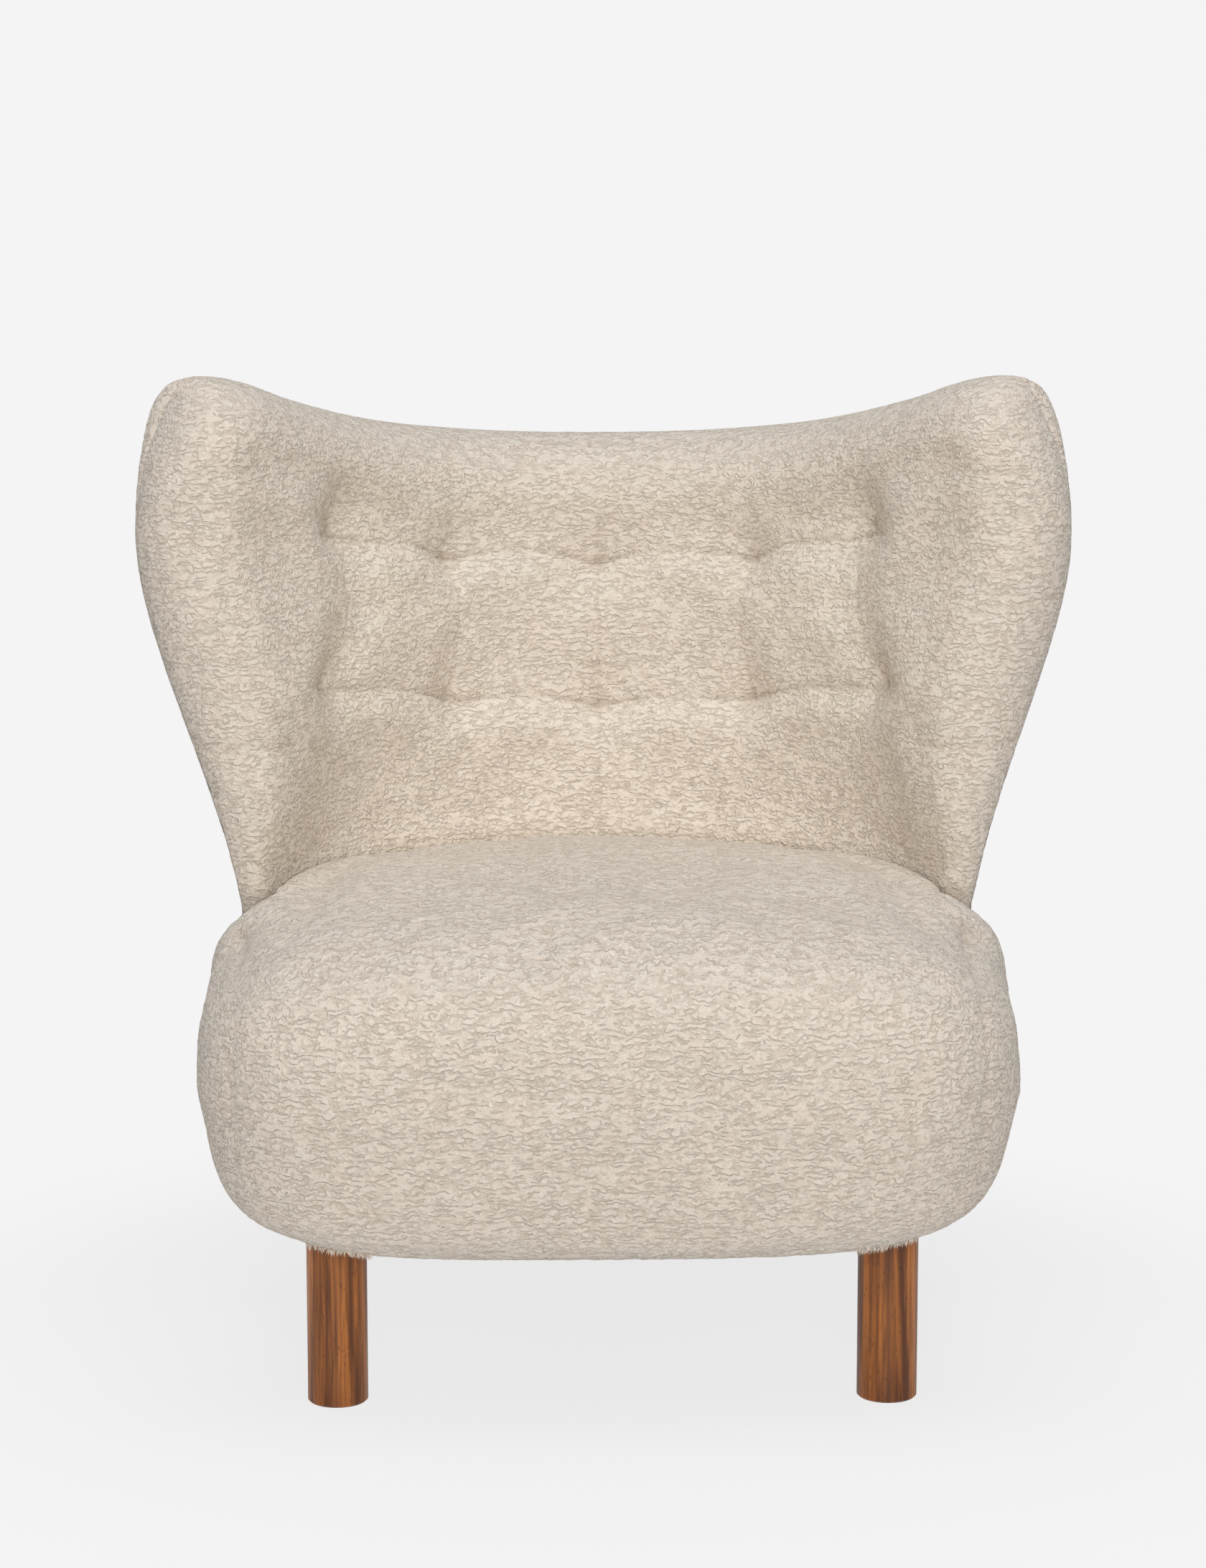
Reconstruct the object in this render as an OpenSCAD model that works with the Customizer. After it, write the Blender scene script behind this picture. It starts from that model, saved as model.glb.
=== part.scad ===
// Wing-backed lounge chair with a sewn, tufted inner back, built up from its frame outwards.
// Millimetres. X is the chair's left and right, front is -Y, Z is up, floor at Z = 0.

/* [Overall] */
// Width across the wings
width = 814; // [740:1:900]
// Height of the wing tips above the floor
wing_height = 838; // [780:1:900]
// Height of the middle of the back above the floor
back_height = 772; // [720:1:820]
// Distance from the inside of the back to the front of the seat
seat_reach = 545; // [500:1:600]
// Thickness of the upholstered back
back_thickness = 115; // [105:1:130]
// Backward lean of the back in degrees
back_lean = 15; // [10:0.5:18]

/* [Seat] */
// Widest part of the seat
seat_width = 682; // [640:1:740]
// Height of the seat edge where the top turns down
seat_height = 406; // [390:1:430]
// Height of the middle of the seat above its edge
seat_crown = 13; // [6:1:20]

/* [Wings] */
// Half width of the chair where the wings meet the seat
waist_half = 314; // [300:1:330]
// Radius of the padded wing edge at its fullest
wing_edge = 58; // [48:1:64]
// Outward turn of the wings in degrees
wing_turn = 36; // [30:1:40]

/* [Tufting] */
// Depth of each sewn tuft
tuft_depth = 15; // [6:1:18]
// Depth of the pleats between tufts
pleat_depth = 5; // [2:1:7]

/* [Legs] */
// Height of the legs up to the cover
leg_height = 125; // [110:1:140]
// Diameter of the round legs
leg_diameter = 50; // [40:1:54]
// Diameter of the screws that hold the legs
bolt_diameter = 8; // [6:0.5:9]

/* [Timber and cloth] */
// Thickness of the seat rails
rail_thickness = 22; // [18:1:25]
// Thickness of the plywood formers
former_thickness = 18; // [15:1:21]
// Thickness of the woolly cover cloth
cover_thickness = 3; // [2:0.5:4]

/* [Hidden] */

fit = 0.3;
round_segments = 48;
y_in = 160;
seat_half = seat_width / 2;
low_half = seat_half + 1;
base_z = leg_height;
seat_mid = base_z + 0.5 * (seat_height - base_z);
seat_up = seat_height - seat_mid;
seat_down = seat_mid - base_z;
seat_y0 = y_in - 310;
seat_front = seat_reach - 310;
seat_back = 306;
full_z = seat_height + 309;
waist_z = seat_height - 18;
tip_y = y_in - 264;
tip_y_high = y_in - 226;
tip_y_low = y_in - 145;
edge_low = 15;
turn_low = 18;
reach_in = 120;
bow_in = 170;
reach_out = 190;
bow_out = seat_half * 0.84;
middle_share = 0.6;
top_roll = 58;
cap_share = 0.22;
cap_split = 140;
pad_gap = cover_thickness + 2.5 * fit;
pad_share = 0.5;
pad_low = base_z + 77;

function mix(a, b, t) = a + (b - a) * t;
function clamp01(t) = max(0, min(1, t));
function ease(t) = let(c = clamp01(t)) c * c * (3 - 2 * c);
function bez(t, a, b, c, d) =
  let(s = 1 - t) s*s*s*a + 3*s*s*t*b + 3*s*t*t*c + t*t*t*d;

// Outer half width of the back shell at a height
function half_out(z) =
  let(t = clamp01((z - waist_z) / (full_z - waist_z)), l = clamp01((waist_z - z) / (waist_z - seat_mid)))
  waist_half + (width / 2 - waist_half) * sin(90 * pow(t, 1.4))
  + (low_half - waist_half) * pow(sin(90 * l), 2);
function edge_r(z) = mix(edge_low, wing_edge, ease((z - waist_z - 2) / 250));
function turn(z) = mix(turn_low, wing_turn, ease((z - waist_z + 8) / 240));
function tip_front(z) = z > seat_height
  ? tip_y + (tip_y_high - tip_y) * min(2, (z - seat_height) / 250)
  : tip_y + (tip_y_low - tip_y) * sin(90 * clamp01((seat_height - z) / (seat_height - base_z)));
// Inside face of the back at the middle, leaning back above the seat
function y_inside(z) =
  let(d = z - seat_height, soft = 0.5 * (d + sqrt(d * d + 3600))) y_in + tan(back_lean) * (soft - 30);
// Crest line, low in the middle and falling down the wing edges
function crest(u) =
  let(a = abs(u), t = clamp01(a / 0.82), c = clamp01((a - 0.77) / 0.23))
  mix(back_height, wing_height, pow(t, 1.95)) - 200 * (1 - sqrt(max(0, 1 - pow(c, 2.6))));

// Rows of tufts follow the bow of the back
function tuft_pull(u, z) =
  let(a = abs(u), low = 529 + 90 * a * a, high = 659 + 140 * a * a,
      cols_low = [0, 0.28, 0.632], cols_high = [0, 0.28, 0.552],
      dip = max([for (c = cols_low) exp(-(pow((a - c) * 510, 2) + pow(z - low, 2)) / 1100)]),
      dip2 = max([for (c = cols_high) exp(-(pow((a - c) * 510, 2) + pow(z - high, 2)) / 1100)]),
      keep = 1 - ease((a - 0.6) / 0.1),
      pleat = keep * max(exp(-pow(z - low, 2) / 500), exp(-pow(z - high, 2) / 500)))
  tuft_depth * max(dip, dip2) + pleat_depth * pleat * (1 - max(dip, dip2));

// One point of the back shell. side 1 is the inside, -1 the outside, d the depth below the cloth.
function shell(u, z_asked, side, d) =
  let(a = abs(u), sg = u < 0 ? -1 : 1, zt = crest(u) - d, z = min(z_asked, zt),
      r0 = edge_r(z), al = turn(z), cx = half_out(z) - r0, cy = tip_front(z) + r0, r = max(2, r0 - d),
      sa = sin(al), ca = cos(al), yi = y_inside(z) + d, yo = y_inside(z) + back_thickness - d,
      t = clamp01(a / (1 - cap_share)),
      ex = cx - r * ca, ey = cy - r * sa, ox = cx + r * ca, oy = cy + r * sa,
      ix = bez(t, 0, bow_in, ex - reach_in * sa, ex), iy = bez(t, yi, yi, ey + reach_in * ca, ey),
      px = bez(t, 0, bow_out, ox - reach_out * sa, ox), py = bez(t, yo, yo, oy + reach_out * ca, oy),
      k = middle_share, q = 2 * k - 1, tip = a > 1 - cap_share,
      tb = clamp01((a - 1 + cap_share) / cap_share),
      b = side > 0 ? tb * cap_split : 180 - tb * (180 - cap_split),
      sx = cx - r * cos(cap_split) * ca + r * sin(cap_split) * sa,
      sy = cy - r * cos(cap_split) * sa - r * sin(cap_split) * ca,
      mx = tip ? mix(cx + q * r * ca, sx, tb) : mix(ix, px, k),
      my = tip ? mix(cy + q * r * sa, sy, tb) : mix(iy, py, k),
      x1 = tip ? cx - r * cos(b) * ca + r * sin(b) * sa : side > 0 ? ix : px,
      y1 = tip ? cy - r * cos(b) * sa - r * sin(b) * ca : side > 0 ? iy : py,
      dd = clamp01((zt - z) / top_roll), e = sqrt(max(0, 1 - (1 - dd) * (1 - dd))),
      len = max(1, norm([mx - x1, my - y1])),
      pull = side > 0 && !tip ? min(0.5 * len, tuft_pull(u, z)) / len : 0,
      f = e * (1 - pull))
  [sg * (mx + (x1 - mx) * f), my + (y1 - my) * f, z];

function low_edge(u) = mix(pad_low, base_z + 1, ease((abs(u) - 0.62) / 0.16));
function shell_at(u, v, side, d, z0) = shell(u, z0 + v * (crest(u) - d - z0), side, d);
function between(a, b, t) = a + (b - a) * t;
shell_cols = [-1, -0.95, -0.89, -0.83, -0.77, -0.7, -0.62, -0.54, -0.44, -0.36, -0.28, -0.14, 0,
              0.14, 0.28, 0.36, 0.44, 0.54, 0.62, 0.7, 0.77, 0.83, 0.89, 0.95, 1];
shell_rows = [0, 0.12, 0.24, 0.36, 0.47, 0.535, 0.58, 0.64, 0.72, 0.77, 0.81, 0.86, 0.93, 0.975, 1];

function face_grid(cols, rows, side, d, low) =
  [for (v = rows) [for (u = cols) shell_at(u, v, side, d, low ? low_edge(u) : base_z + 1)]];
// Padding lies against the cloth grid and reaches part of the way to the middle of the shell
function within(list, low, high) = [for (v = list) if (v >= low && v <= high) v];
pad_rows = within(shell_rows, 0, 0.95);
function pad_grid(cols, rows, side, share) =
  [for (v = rows) [for (u = side > 0 ? within(cols, -0.9, 0.9) : within(cols, -0.84, 0.84))
    let(z0 = side > 0 ? low_edge(u) : base_z + 1,
        s = shell_at(u, v, side, pad_gap, z0), m = shell_at(u, v, -side, pad_gap, z0),
        c = between(s, m, side > 0 ? middle_share : 1 - middle_share))
    between(s, c, share)]];

function strip(i0, i1, j0, j1) = [[i0, i1, j1], [i0, j1, j0]];
// Closed sheet between two open grids of points, front grid first
module skin(front, back) {
  n = len(front); m = len(front[0]); o = n * m;
  points = concat([for (r = front) each r], [for (r = back) each r]);
  faces = concat(
    [for (i = [0 : n - 2]) for (j = [0 : m - 2])
      each strip(i * m + j, i * m + j + 1, (i + 1) * m + j, (i + 1) * m + j + 1)],
    [for (i = [0 : n - 2]) for (j = [0 : m - 2]) let(a = o + i * m + j, d = a + m + 1)
      each [[a, d, a + 1], [a, a + m, d]]],
    [for (j = [0 : m - 2]) each strip(j + 1, j, o + j + 1, o + j)],
    [for (j = [0 : m - 2]) each strip((n - 1) * m + j, (n - 1) * m + j + 1, o + (n - 1) * m + j,
      o + (n - 1) * m + j + 1)],
    [for (i = [0 : n - 2]) each strip(i * m, (i + 1) * m, o + i * m, o + (i + 1) * m)],
    [for (i = [0 : n - 2]) each strip((i + 2) * m - 1, (i + 1) * m - 1, o + (i + 2) * m - 1,
      o + (i + 1) * m - 1)]);
  polyhedron(points = points, faces = [for (f = faces) [f[0], f[2], f[1]]], convexity = 8);
}

// Seat form: a puffed block, rounded in front and boxier against the back
seat_steps = 32;
seat_angles = [for (i = [0 : seat_steps - 1]) 360 * i / seat_steps + 0.5];
top_rows = [0.2, 0.45, 0.66, 0.82, 0.92, 0.975, 1];
low_rows = [0.3, 0.55, 0.75, 0.88, 0.96, 1];
wall_gap = 7;
function inner_wall(z) =
  [for (i = [12 : -1 : 0]) let(p = shell(i / 12 * (1 - cap_share), z, 1, 0)) [p[1] + i * 0.001, abs(p[0])]];
function fit_wall(p, d) =
  let(y = min(p[1], y_inside(p[2]) - wall_gap - d), near = y > tip_front(p[2]) - 60,
      wall = inner_wall(min(p[2], seat_height)), lead = max(0, tip_front(p[2]) - 6 - d - y) * 1.2,
      lim = near ? max(4, lookup(y + wall_gap + d, wall) - wall_gap - d + lead) : 1000)
  [p[0] < 0 ? -min(-p[0], lim) : min(p[0], lim), y, p[2]];
function seat_plan(th, d) =
  let(c = cos(th), s = sin(th), n = s < 0 ? 3.8 : 2.3,
      r = pow(pow(abs(c), n) + pow(abs(s), n), -1 / n))
  [(seat_half - d) * r * c, ((s < 0 ? seat_front : seat_back) - d) * r * s];
function seat_top(th, k, d) =
  let(p = seat_plan(th, d), n = mix(3.3, 7, ease(sin(th) + 0.5)))
  fit_wall([p[0] * k, seat_y0 + p[1] * k,
    seat_mid + (seat_up - d) * pow(max(0, 1 - pow(k, n)), 1 / n) + seat_crown * (1 - k * k)], d);
function seat_low(th, h, d) =
  let(p = seat_plan(th, d), n = mix(3.4, 7, ease(sin(th) * 2)), k = pow(max(0, 1 - pow(h, n)), 1 / n))
  fit_wall([p[0] * k, seat_y0 + p[1] * k, seat_mid - (seat_down - d) * h], d);
function low_end(th) = mix(0.955, (seat_mid - pad_low) / seat_down, ease((sin(th) - 0.5) / 0.25));
function seat_grid(d) = concat(
  [for (k = top_rows) [for (th = seat_angles) seat_top(th, k, d)]],
  [for (h = low_rows) [for (th = seat_angles) seat_low(th, h * low_end(th), d)]]);

// Faces around a closed band of rows, and a fan that closes one end
function band(n, m, o, flip) = [for (i = [0 : n - 2]) for (j = [0 : m - 1])
  let(k = (j + 1) % m, a = o + i * m + j, b = o + i * m + k, c = a + m, d = b + m)
  each flip ? [[a, b, d], [a, d, c]] : [[a, d, b], [a, c, d]]];
function fan(m, o, c, flip) = [for (j = [0 : m - 1])
  let(k = (j + 1) % m) flip ? [c, o + k, o + j] : [c, o + j, o + k]];

module cap_sheet(front, back, mid_front, mid_back) {
  n = len(front); m = len(front[0]); o = n * m;
  points = concat([for (r = front) each r], [for (r = back) each r], [mid_front, mid_back]);
  faces = concat(band(n, m, 0, true), band(n, m, o, false),
    fan(m, 0, 2 * o, true), fan(m, o, 2 * o + 1, false),
    [for (j = [0 : m - 1]) let(k = (j + 1) % m, a = (n - 1) * m + j, b = (n - 1) * m + k)
      each [[a, b, o + b], [a, o + b, o + a]]]);
  polyhedron(points = points, faces = faces, convexity = 8);
}
module closed_block(rows, mid_top, mid_low) {
  n = len(rows); m = len(rows[0]); o = n * m;
  points = concat([for (r = rows) each r], [mid_top, mid_low]);
  faces = concat(band(n, m, 0, true), fan(m, 0, o, true), fan(m, (n - 1) * m, o + 1, false));
  polyhedron(points = points, faces = faces, convexity = 8);
}

// Frame sizes follow the seat form
rail_out = seat_half * 0.757;
rail_in = rail_out - rail_thickness;
rail_low = base_z + 33;
rail_top = base_z + 97;
rail_front = seat_y0 - seat_front * 0.583;
rail_rear = y_in - 116;
leg_x = rail_in - 7.5;
leg_y = seat_y0 - seat_front * 0.362;
leg_rear_x = seat_half * 0.566;
leg_rear_y = y_in + back_thickness * 0.478;
leg_top = rail_low - fit;
base_top = rail_low + 2 * former_thickness;
block_top = rail_low + 55;
middle_z = seat_height + 15;
top_z = back_height - 91;
wire = 3.5;
lining_z = rail_top + wire + 2 * fit;
foam_z = lining_z + 2 + fit;
walnut = [0.56, 0.35, 0.21];
timber = [0.85, 0.72, 0.53];
ply = [0.8, 0.66, 0.46];
wool = [0.84, 0.79, 0.72];
foam_colour = [0.93, 0.89, 0.72];
steel = [0.62, 0.63, 0.65];

outer_points = face_grid(shell_cols, shell_rows, -1, 0, false);
y_min = seat_y0 - seat_front;
y_max = max([for (r = outer_points) for (p = r) p[1]]);
shift = -(y_min + y_max) / 2;

module placed() { translate([0, shift, 0]) children(); }

module leg(x, y) {
  c = 1.6;
  color(walnut) placed() translate([x, y, 0]) difference() {
    union() {
      cylinder(h = c, r1 = leg_diameter / 2 - c, r2 = leg_diameter / 2, $fn = round_segments);
      translate([0, 0, c]) cylinder(h = leg_top - c, r = leg_diameter / 2, $fn = round_segments);
    }
    translate([0, 0, leg_top - 45])
      cylinder(h = 46, r = bolt_diameter / 2 + 0.2, $fn = round_segments);
  }
}
module leg_bolt(x, y, top) {
  color(steel) placed() translate([x, y, leg_top - 44.5])
    cylinder(h = top - leg_top + 44.5 + 12, r = bolt_diameter / 2, $fn = round_segments);
}
module leg_nut(x, y, top) {
  color(steel) placed() translate([x, y, top + 0.1]) difference() {
    cylinder(h = 8, r = bolt_diameter / 2 + 3.5, $fn = round_segments);
    translate([0, 0, -1]) cylinder(h = 10, r = bolt_diameter / 2 + 0.2, $fn = round_segments);
  }
}
module leg_front_left() { leg(-leg_x, leg_y); }
module leg_front_right() { leg(leg_x, leg_y); }
module leg_rear_left() { leg(-leg_rear_x, leg_rear_y); }
module leg_rear_right() { leg(leg_rear_x, leg_rear_y); }
module leg_bolt_front_left() { leg_bolt(-leg_x, leg_y, block_top); }
module leg_bolt_front_right() { leg_bolt(leg_x, leg_y, block_top); }
module leg_bolt_rear_left() { leg_bolt(-leg_rear_x, leg_rear_y, base_top); }
module leg_bolt_rear_right() { leg_bolt(leg_rear_x, leg_rear_y, base_top); }
module leg_nut_front_left() { leg_nut(-leg_x, leg_y, block_top); }
module leg_nut_front_right() { leg_nut(leg_x, leg_y, block_top); }
module leg_nut_rear_left() { leg_nut(-leg_rear_x, leg_rear_y, base_top); }
module leg_nut_rear_right() { leg_nut(leg_rear_x, leg_rear_y, base_top); }

module box(x0, x1, y0, y1, z0, z1) { translate([x0, y0, z0]) cube([x1 - x0, y1 - y0, z1 - z0]); }
module seat_rail_front() {
  color(timber) placed()
    box(-rail_out, rail_out, rail_front, rail_front + rail_thickness, rail_low, rail_top);
}
module seat_rail_rear() {
  color(timber) placed()
    box(-rail_in + fit, rail_in - fit, rail_rear - rail_thickness, rail_rear, rail_low, rail_top);
}
module seat_rail_left() {
  color(timber) placed()
    box(-rail_out, -rail_in, rail_front + rail_thickness + fit, rail_rear, rail_low, rail_top);
}
module seat_rail_right() {
  color(timber) placed()
    box(rail_in, rail_out, rail_front + rail_thickness + fit, rail_rear, rail_low, rail_top);
}
module corner_block(s) {
  color(timber) placed() difference() {
    box(min(s * (rail_in - fit), s * (rail_in - 62)), max(s * (rail_in - fit), s * (rail_in - 62)),
      rail_front + rail_thickness + fit, leg_y + 34, rail_low, block_top);
    translate([s * leg_x, leg_y, rail_low - 1])
      cylinder(h = 60, r = bolt_diameter / 2 + 0.2, $fn = round_segments);
  }
}
module corner_block_left() { corner_block(-1); }
module corner_block_right() { corner_block(1); }
bearer_y = y_inside(rail_low) + cover_thickness + 20;
base_level = rail_low + former_thickness;
module bearer(s) {
  color(timber) placed()
    difference() {
      box(s * 95 - 20, s * 95 + 20, rail_rear + fit, bearer_y, rail_low, base_top);
      translate([0, 0, rail_low - 1]) linear_extrude(height = 2 * former_thickness + 2)
        polygon(concat([for (u = former_cols(0.62))
          let(p = shell(u, base_level, 1, cover_thickness + 10 - fit)) [p[0], p[1]]],
          [[seat_half, y_in + 300], [-seat_half, y_in + 300]]));
    }
}
module bearer_left() { bearer(-1); }
module bearer_right() { bearer(1); }

// Zigzag spring wires run from the front rail to the rear rail
spring_y0 = rail_front + 6;
spring_y1 = rail_rear - 6;
function wave(t, side) =
  let(y = mix(spring_y0, spring_y1, t), free = min(1, 12 * min(t, 1 - t)))
  [18 * free * sin(360 * 7 * t) + side * wire * 0.5, y];
module spring(i) {
  color(steel) placed() translate([(i - 3) * rail_in * 0.36, 0, rail_top + fit])
    linear_extrude(height = wire)
      polygon(concat([for (k = [0 : 84]) wave(k / 84, -1)], [for (k = [84 : -1 : 0]) wave(k / 84, 1)]));
}
module spring_1() { spring(1); }
module spring_2() { spring(2); }
module spring_3() { spring(3); }
module spring_4() { spring(4); }
module spring_5() { spring(5); }
// Steel bars screwed over the spring ends, notched for each wire
module spring_bar(y) {
  color(steel) placed() difference() {
    box(-rail_in + 10, rail_in - 10, y - 7, y + 7, rail_top, rail_top + wire + fit + 1.5);
    for (i = [1 : 5]) translate([(i - 3) * rail_in * 0.36 - 12, y - 8, rail_top - 1])
      cube([24, 16, wire + 2 * fit + 1]);
  }
}
module spring_bar_front() { spring_bar(rail_front + 15); }
module spring_bar_rear() { spring_bar(rail_rear - 15); }

module seat_lining() {
  color([0.72, 0.62, 0.46]) placed()
    box(-rail_in, rail_in, rail_front + rail_thickness, rail_rear - rail_thickness, lining_z, lining_z + 2);
}
foam_rows = concat([for (k = top_rows) [for (th = seat_angles) seat_top(th, k, pad_gap)]],
  [[for (th = seat_angles)
    let(h = (seat_mid - foam_z) / (seat_down - pad_gap)) seat_low(th, h, pad_gap + 1)]]);
module seat_foam() {
  color(foam_colour) placed() closed_block(foam_rows,
    [0, seat_y0, seat_height - pad_gap + seat_crown], [0, seat_y0, foam_z]);
}
// Soft border between the rails and the cover, open at the back
border_angles = [for (i = [0 : 20]) -195 + 210 * i / 20];
border_high = foam_z - 2 * fit - 1;
border_low = rail_low + 2;
function box_point(th, z) =
  let(c = cos(th), s = sin(th), a = rail_out + fit, b = seat_y0 - rail_front + fit,
      r = min(a / max(0.001, abs(c)), b / max(0.001, abs(s))))
  [r * c, seat_y0 + r * s, z];
function border_out(th, z) = seat_low(th, (seat_mid - z) / (seat_down - pad_gap), pad_gap + 5);
module seat_border() {
  levels = [border_low, mix(border_low, border_high, 0.35), mix(border_low, border_high, 0.7), border_high];
  color(foam_colour) placed() difference() {
    skin([for (z = levels) [for (th = border_angles) border_out(th, z)]],
      [for (z = levels) [for (th = border_angles)
        let(p = border_out(th, z)) [p[0] * 0.6, seat_y0 + (p[1] - seat_y0) * 0.5, z]]]);
    box(-rail_out - fit, rail_out + fit, rail_front - fit, rail_rear + 200, rail_low - 5, rail_top + 40);
  }
}
module seat_cover() {
  c = cover_thickness;
  color(wool) placed() difference() {
    cap_sheet(seat_grid(0), seat_grid(c), [0, seat_y0, seat_height + seat_crown],
      [0, seat_y0, seat_height + seat_crown - c]);
    for (s = [-1, 1]) translate([s * leg_x, leg_y, base_z - 5])
      cylinder(h = 50, r = leg_diameter / 2 + fit, $fn = round_segments);
  }
}
// Bottom cloth, tucked under the seat cover in front and inside the back cover behind
module dust_cover() {
  z = base_z + 2.2;
  front = [for (i = [0 : 24]) let(p = seat_plan(145 + 250 * i / 24, 0)) [p[0] * 0.63, seat_y0 + p[1] * 0.63]];
  rear = [for (u = former_cols(0.62)) let(p = shell(-u, z, -1, cover_thickness + 1)) [p[0], p[1]]];
  color([0.2, 0.2, 0.2]) placed() difference() {
    translate([0, 0, z]) linear_extrude(height = 1.5) polygon(concat(front, rear));
    for (s = [-1, 1]) {
      translate([s * leg_x, leg_y, z - 5])
        cylinder(h = 20, r = leg_diameter / 2 + fit, $fn = round_segments);
      translate([s * leg_rear_x, leg_rear_y, z - 5])
        cylinder(h = 20, r = leg_diameter / 2 + fit, $fn = round_segments);
    }
  }
}

// Plywood formers take their outline from the shell at their own height
function former_edge(u, z, side, share) =
  let(s = shell(u, z, side, pad_gap), m = shell(u, z, -side, pad_gap),
      p = between(s, m, share * (side > 0 ? middle_share : 1 - middle_share))) [p[0], p[1]];
function former_cols(span) = [for (u = shell_cols) if (abs(u) <= span) u];
module former(z, span, share) {
  placed() translate([0, 0, z - former_thickness / 2]) linear_extrude(height = former_thickness)
    polygon(concat([for (u = former_cols(span)) former_edge(u, z, 1, share)],
      [for (u = former_cols(span)) former_edge(-u, z, -1, share)]));
}
module back_base() {
  z = base_level;
  color(ply) difference() {
    placed() translate([0, 0, rail_low]) linear_extrude(height = 2 * former_thickness)
      polygon(concat([for (u = former_cols(0.62)) let(p = shell(u, z, 1, cover_thickness + 10)) [p[0], p[1]]],
        [for (u = former_cols(0.62)) let(p = shell(-u, z, -1, cover_thickness + 9)) [p[0], p[1]]]));
    for (s = [-1, 1]) placed() translate([s * leg_rear_x, leg_rear_y, rail_low - 1])
      cylinder(h = 2 * former_thickness + 2, r = bolt_diameter / 2 + 0.2, $fn = round_segments);
  }
}
module former_middle() { color(ply) former(middle_z + former_thickness / 2, 0.62, 0.64); }
module former_top() { color(ply) former(top_z + former_thickness / 2, 0.78, 0.64); }

// Back stiles lean with the shell between the formers
module stile(s, z0, z1) {
  y0 = y_inside(z0) + back_thickness * 0.54; y1 = y_inside(z1) + back_thickness * 0.54;
  color(timber) placed() translate([s * 60 - 14, 0, 0]) rotate([90, 0, 90]) linear_extrude(height = 28)
    polygon([[y0 - 13, z0], [y0 + 13, z0], [y1 + 13, z1], [y1 - 13, z1]]);
}
module stile_lower_left() { stile(-1, base_top + fit, middle_z - fit); }
module stile_lower_right() { stile(1, base_top + fit, middle_z - fit); }
module stile_upper_left() { stile(-1, middle_z + former_thickness + fit, top_z - fit); }
module stile_upper_right() { stile(1, middle_z + former_thickness + fit, top_z - fit); }
// Moulded wing panels stand between the middle and top formers
module wing_panel() {
  zs = [for (i = [0 : 6]) mix(middle_z + former_thickness + fit, top_z - fit, i / 6)];
  us = [0.44, 0.49, 0.54, 0.58, 0.62];
  function sheet(a) = [for (z = zs) [for (u = us)
    between(shell(u, z, 1, pad_gap), shell(u, z, -1, pad_gap), a)]];
  color(ply) placed() skin(sheet(0.56), sheet(0.66));
}
module wing_panel_left() { mirror([1, 0, 0]) wing_panel(); }
module wing_panel_right() { wing_panel(); }

module back_padding_inner() {
  color(foam_colour) placed()
    skin(pad_grid(shell_cols, pad_rows, 1, 0), pad_grid(shell_cols, pad_rows, 1, pad_share));
}
module back_padding_outer() {
  rows = within(pad_rows, 0.1, 1);
  color(foam_colour) placed()
    skin(pad_grid(shell_cols, rows, -1, pad_share), pad_grid(shell_cols, rows, -1, 0));
}
module inner_back_cover() {
  color(wool) placed() skin(face_grid(shell_cols, shell_rows, 1, 0, true),
    face_grid(shell_cols, shell_rows, 1, cover_thickness, true));
}
module outer_back_cover() {
  color(wool) placed() skin(face_grid(shell_cols, shell_rows, -1, cover_thickness, false), outer_points);
}

leg_front_left();
leg_front_right();
leg_rear_left();
leg_rear_right();
leg_bolt_front_left();
leg_bolt_front_right();
leg_bolt_rear_left();
leg_bolt_rear_right();
leg_nut_front_left();
leg_nut_front_right();
leg_nut_rear_left();
leg_nut_rear_right();
seat_rail_front();
seat_rail_rear();
seat_rail_left();
seat_rail_right();
corner_block_left();
corner_block_right();
bearer_left();
bearer_right();
spring_1();
spring_2();
spring_3();
spring_4();
spring_5();
spring_bar_front();
spring_bar_rear();
seat_lining();
seat_foam();
seat_border();
seat_cover();
dust_cover();
back_base();
former_middle();
former_top();
stile_lower_left();
stile_lower_right();
stile_upper_left();
stile_upper_right();
wing_panel_left();
wing_panel_right();
back_padding_inner();
back_padding_outer();
inner_back_cover();
outer_back_cover();
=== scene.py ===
"""Wing-backed lounge chair: covers, padding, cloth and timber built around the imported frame."""
import math

import bpy
import numpy as np
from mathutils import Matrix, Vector


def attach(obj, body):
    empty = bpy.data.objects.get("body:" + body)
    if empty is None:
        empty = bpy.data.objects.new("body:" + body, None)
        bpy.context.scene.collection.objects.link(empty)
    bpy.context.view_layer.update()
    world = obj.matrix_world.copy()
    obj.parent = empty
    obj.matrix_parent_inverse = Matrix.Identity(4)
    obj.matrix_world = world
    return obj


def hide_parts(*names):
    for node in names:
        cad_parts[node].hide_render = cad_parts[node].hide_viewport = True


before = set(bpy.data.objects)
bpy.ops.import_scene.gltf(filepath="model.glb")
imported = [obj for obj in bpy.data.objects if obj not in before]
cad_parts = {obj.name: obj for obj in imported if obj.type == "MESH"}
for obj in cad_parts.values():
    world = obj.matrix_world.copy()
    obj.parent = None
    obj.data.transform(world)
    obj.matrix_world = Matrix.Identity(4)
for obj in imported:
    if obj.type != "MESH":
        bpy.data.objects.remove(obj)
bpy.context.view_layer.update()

# The chair's form, in millimetres. On the back, u runs from -1 at one wing's edge to 1 at the other
SHIFT = 16.2355  # from this form's y to the frame's
CAP = 0.22  # share of u on each wing's rounded edge
SPLIT = math.radians(140)  # angle on that edge where the inner and the outer cover meet
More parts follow.
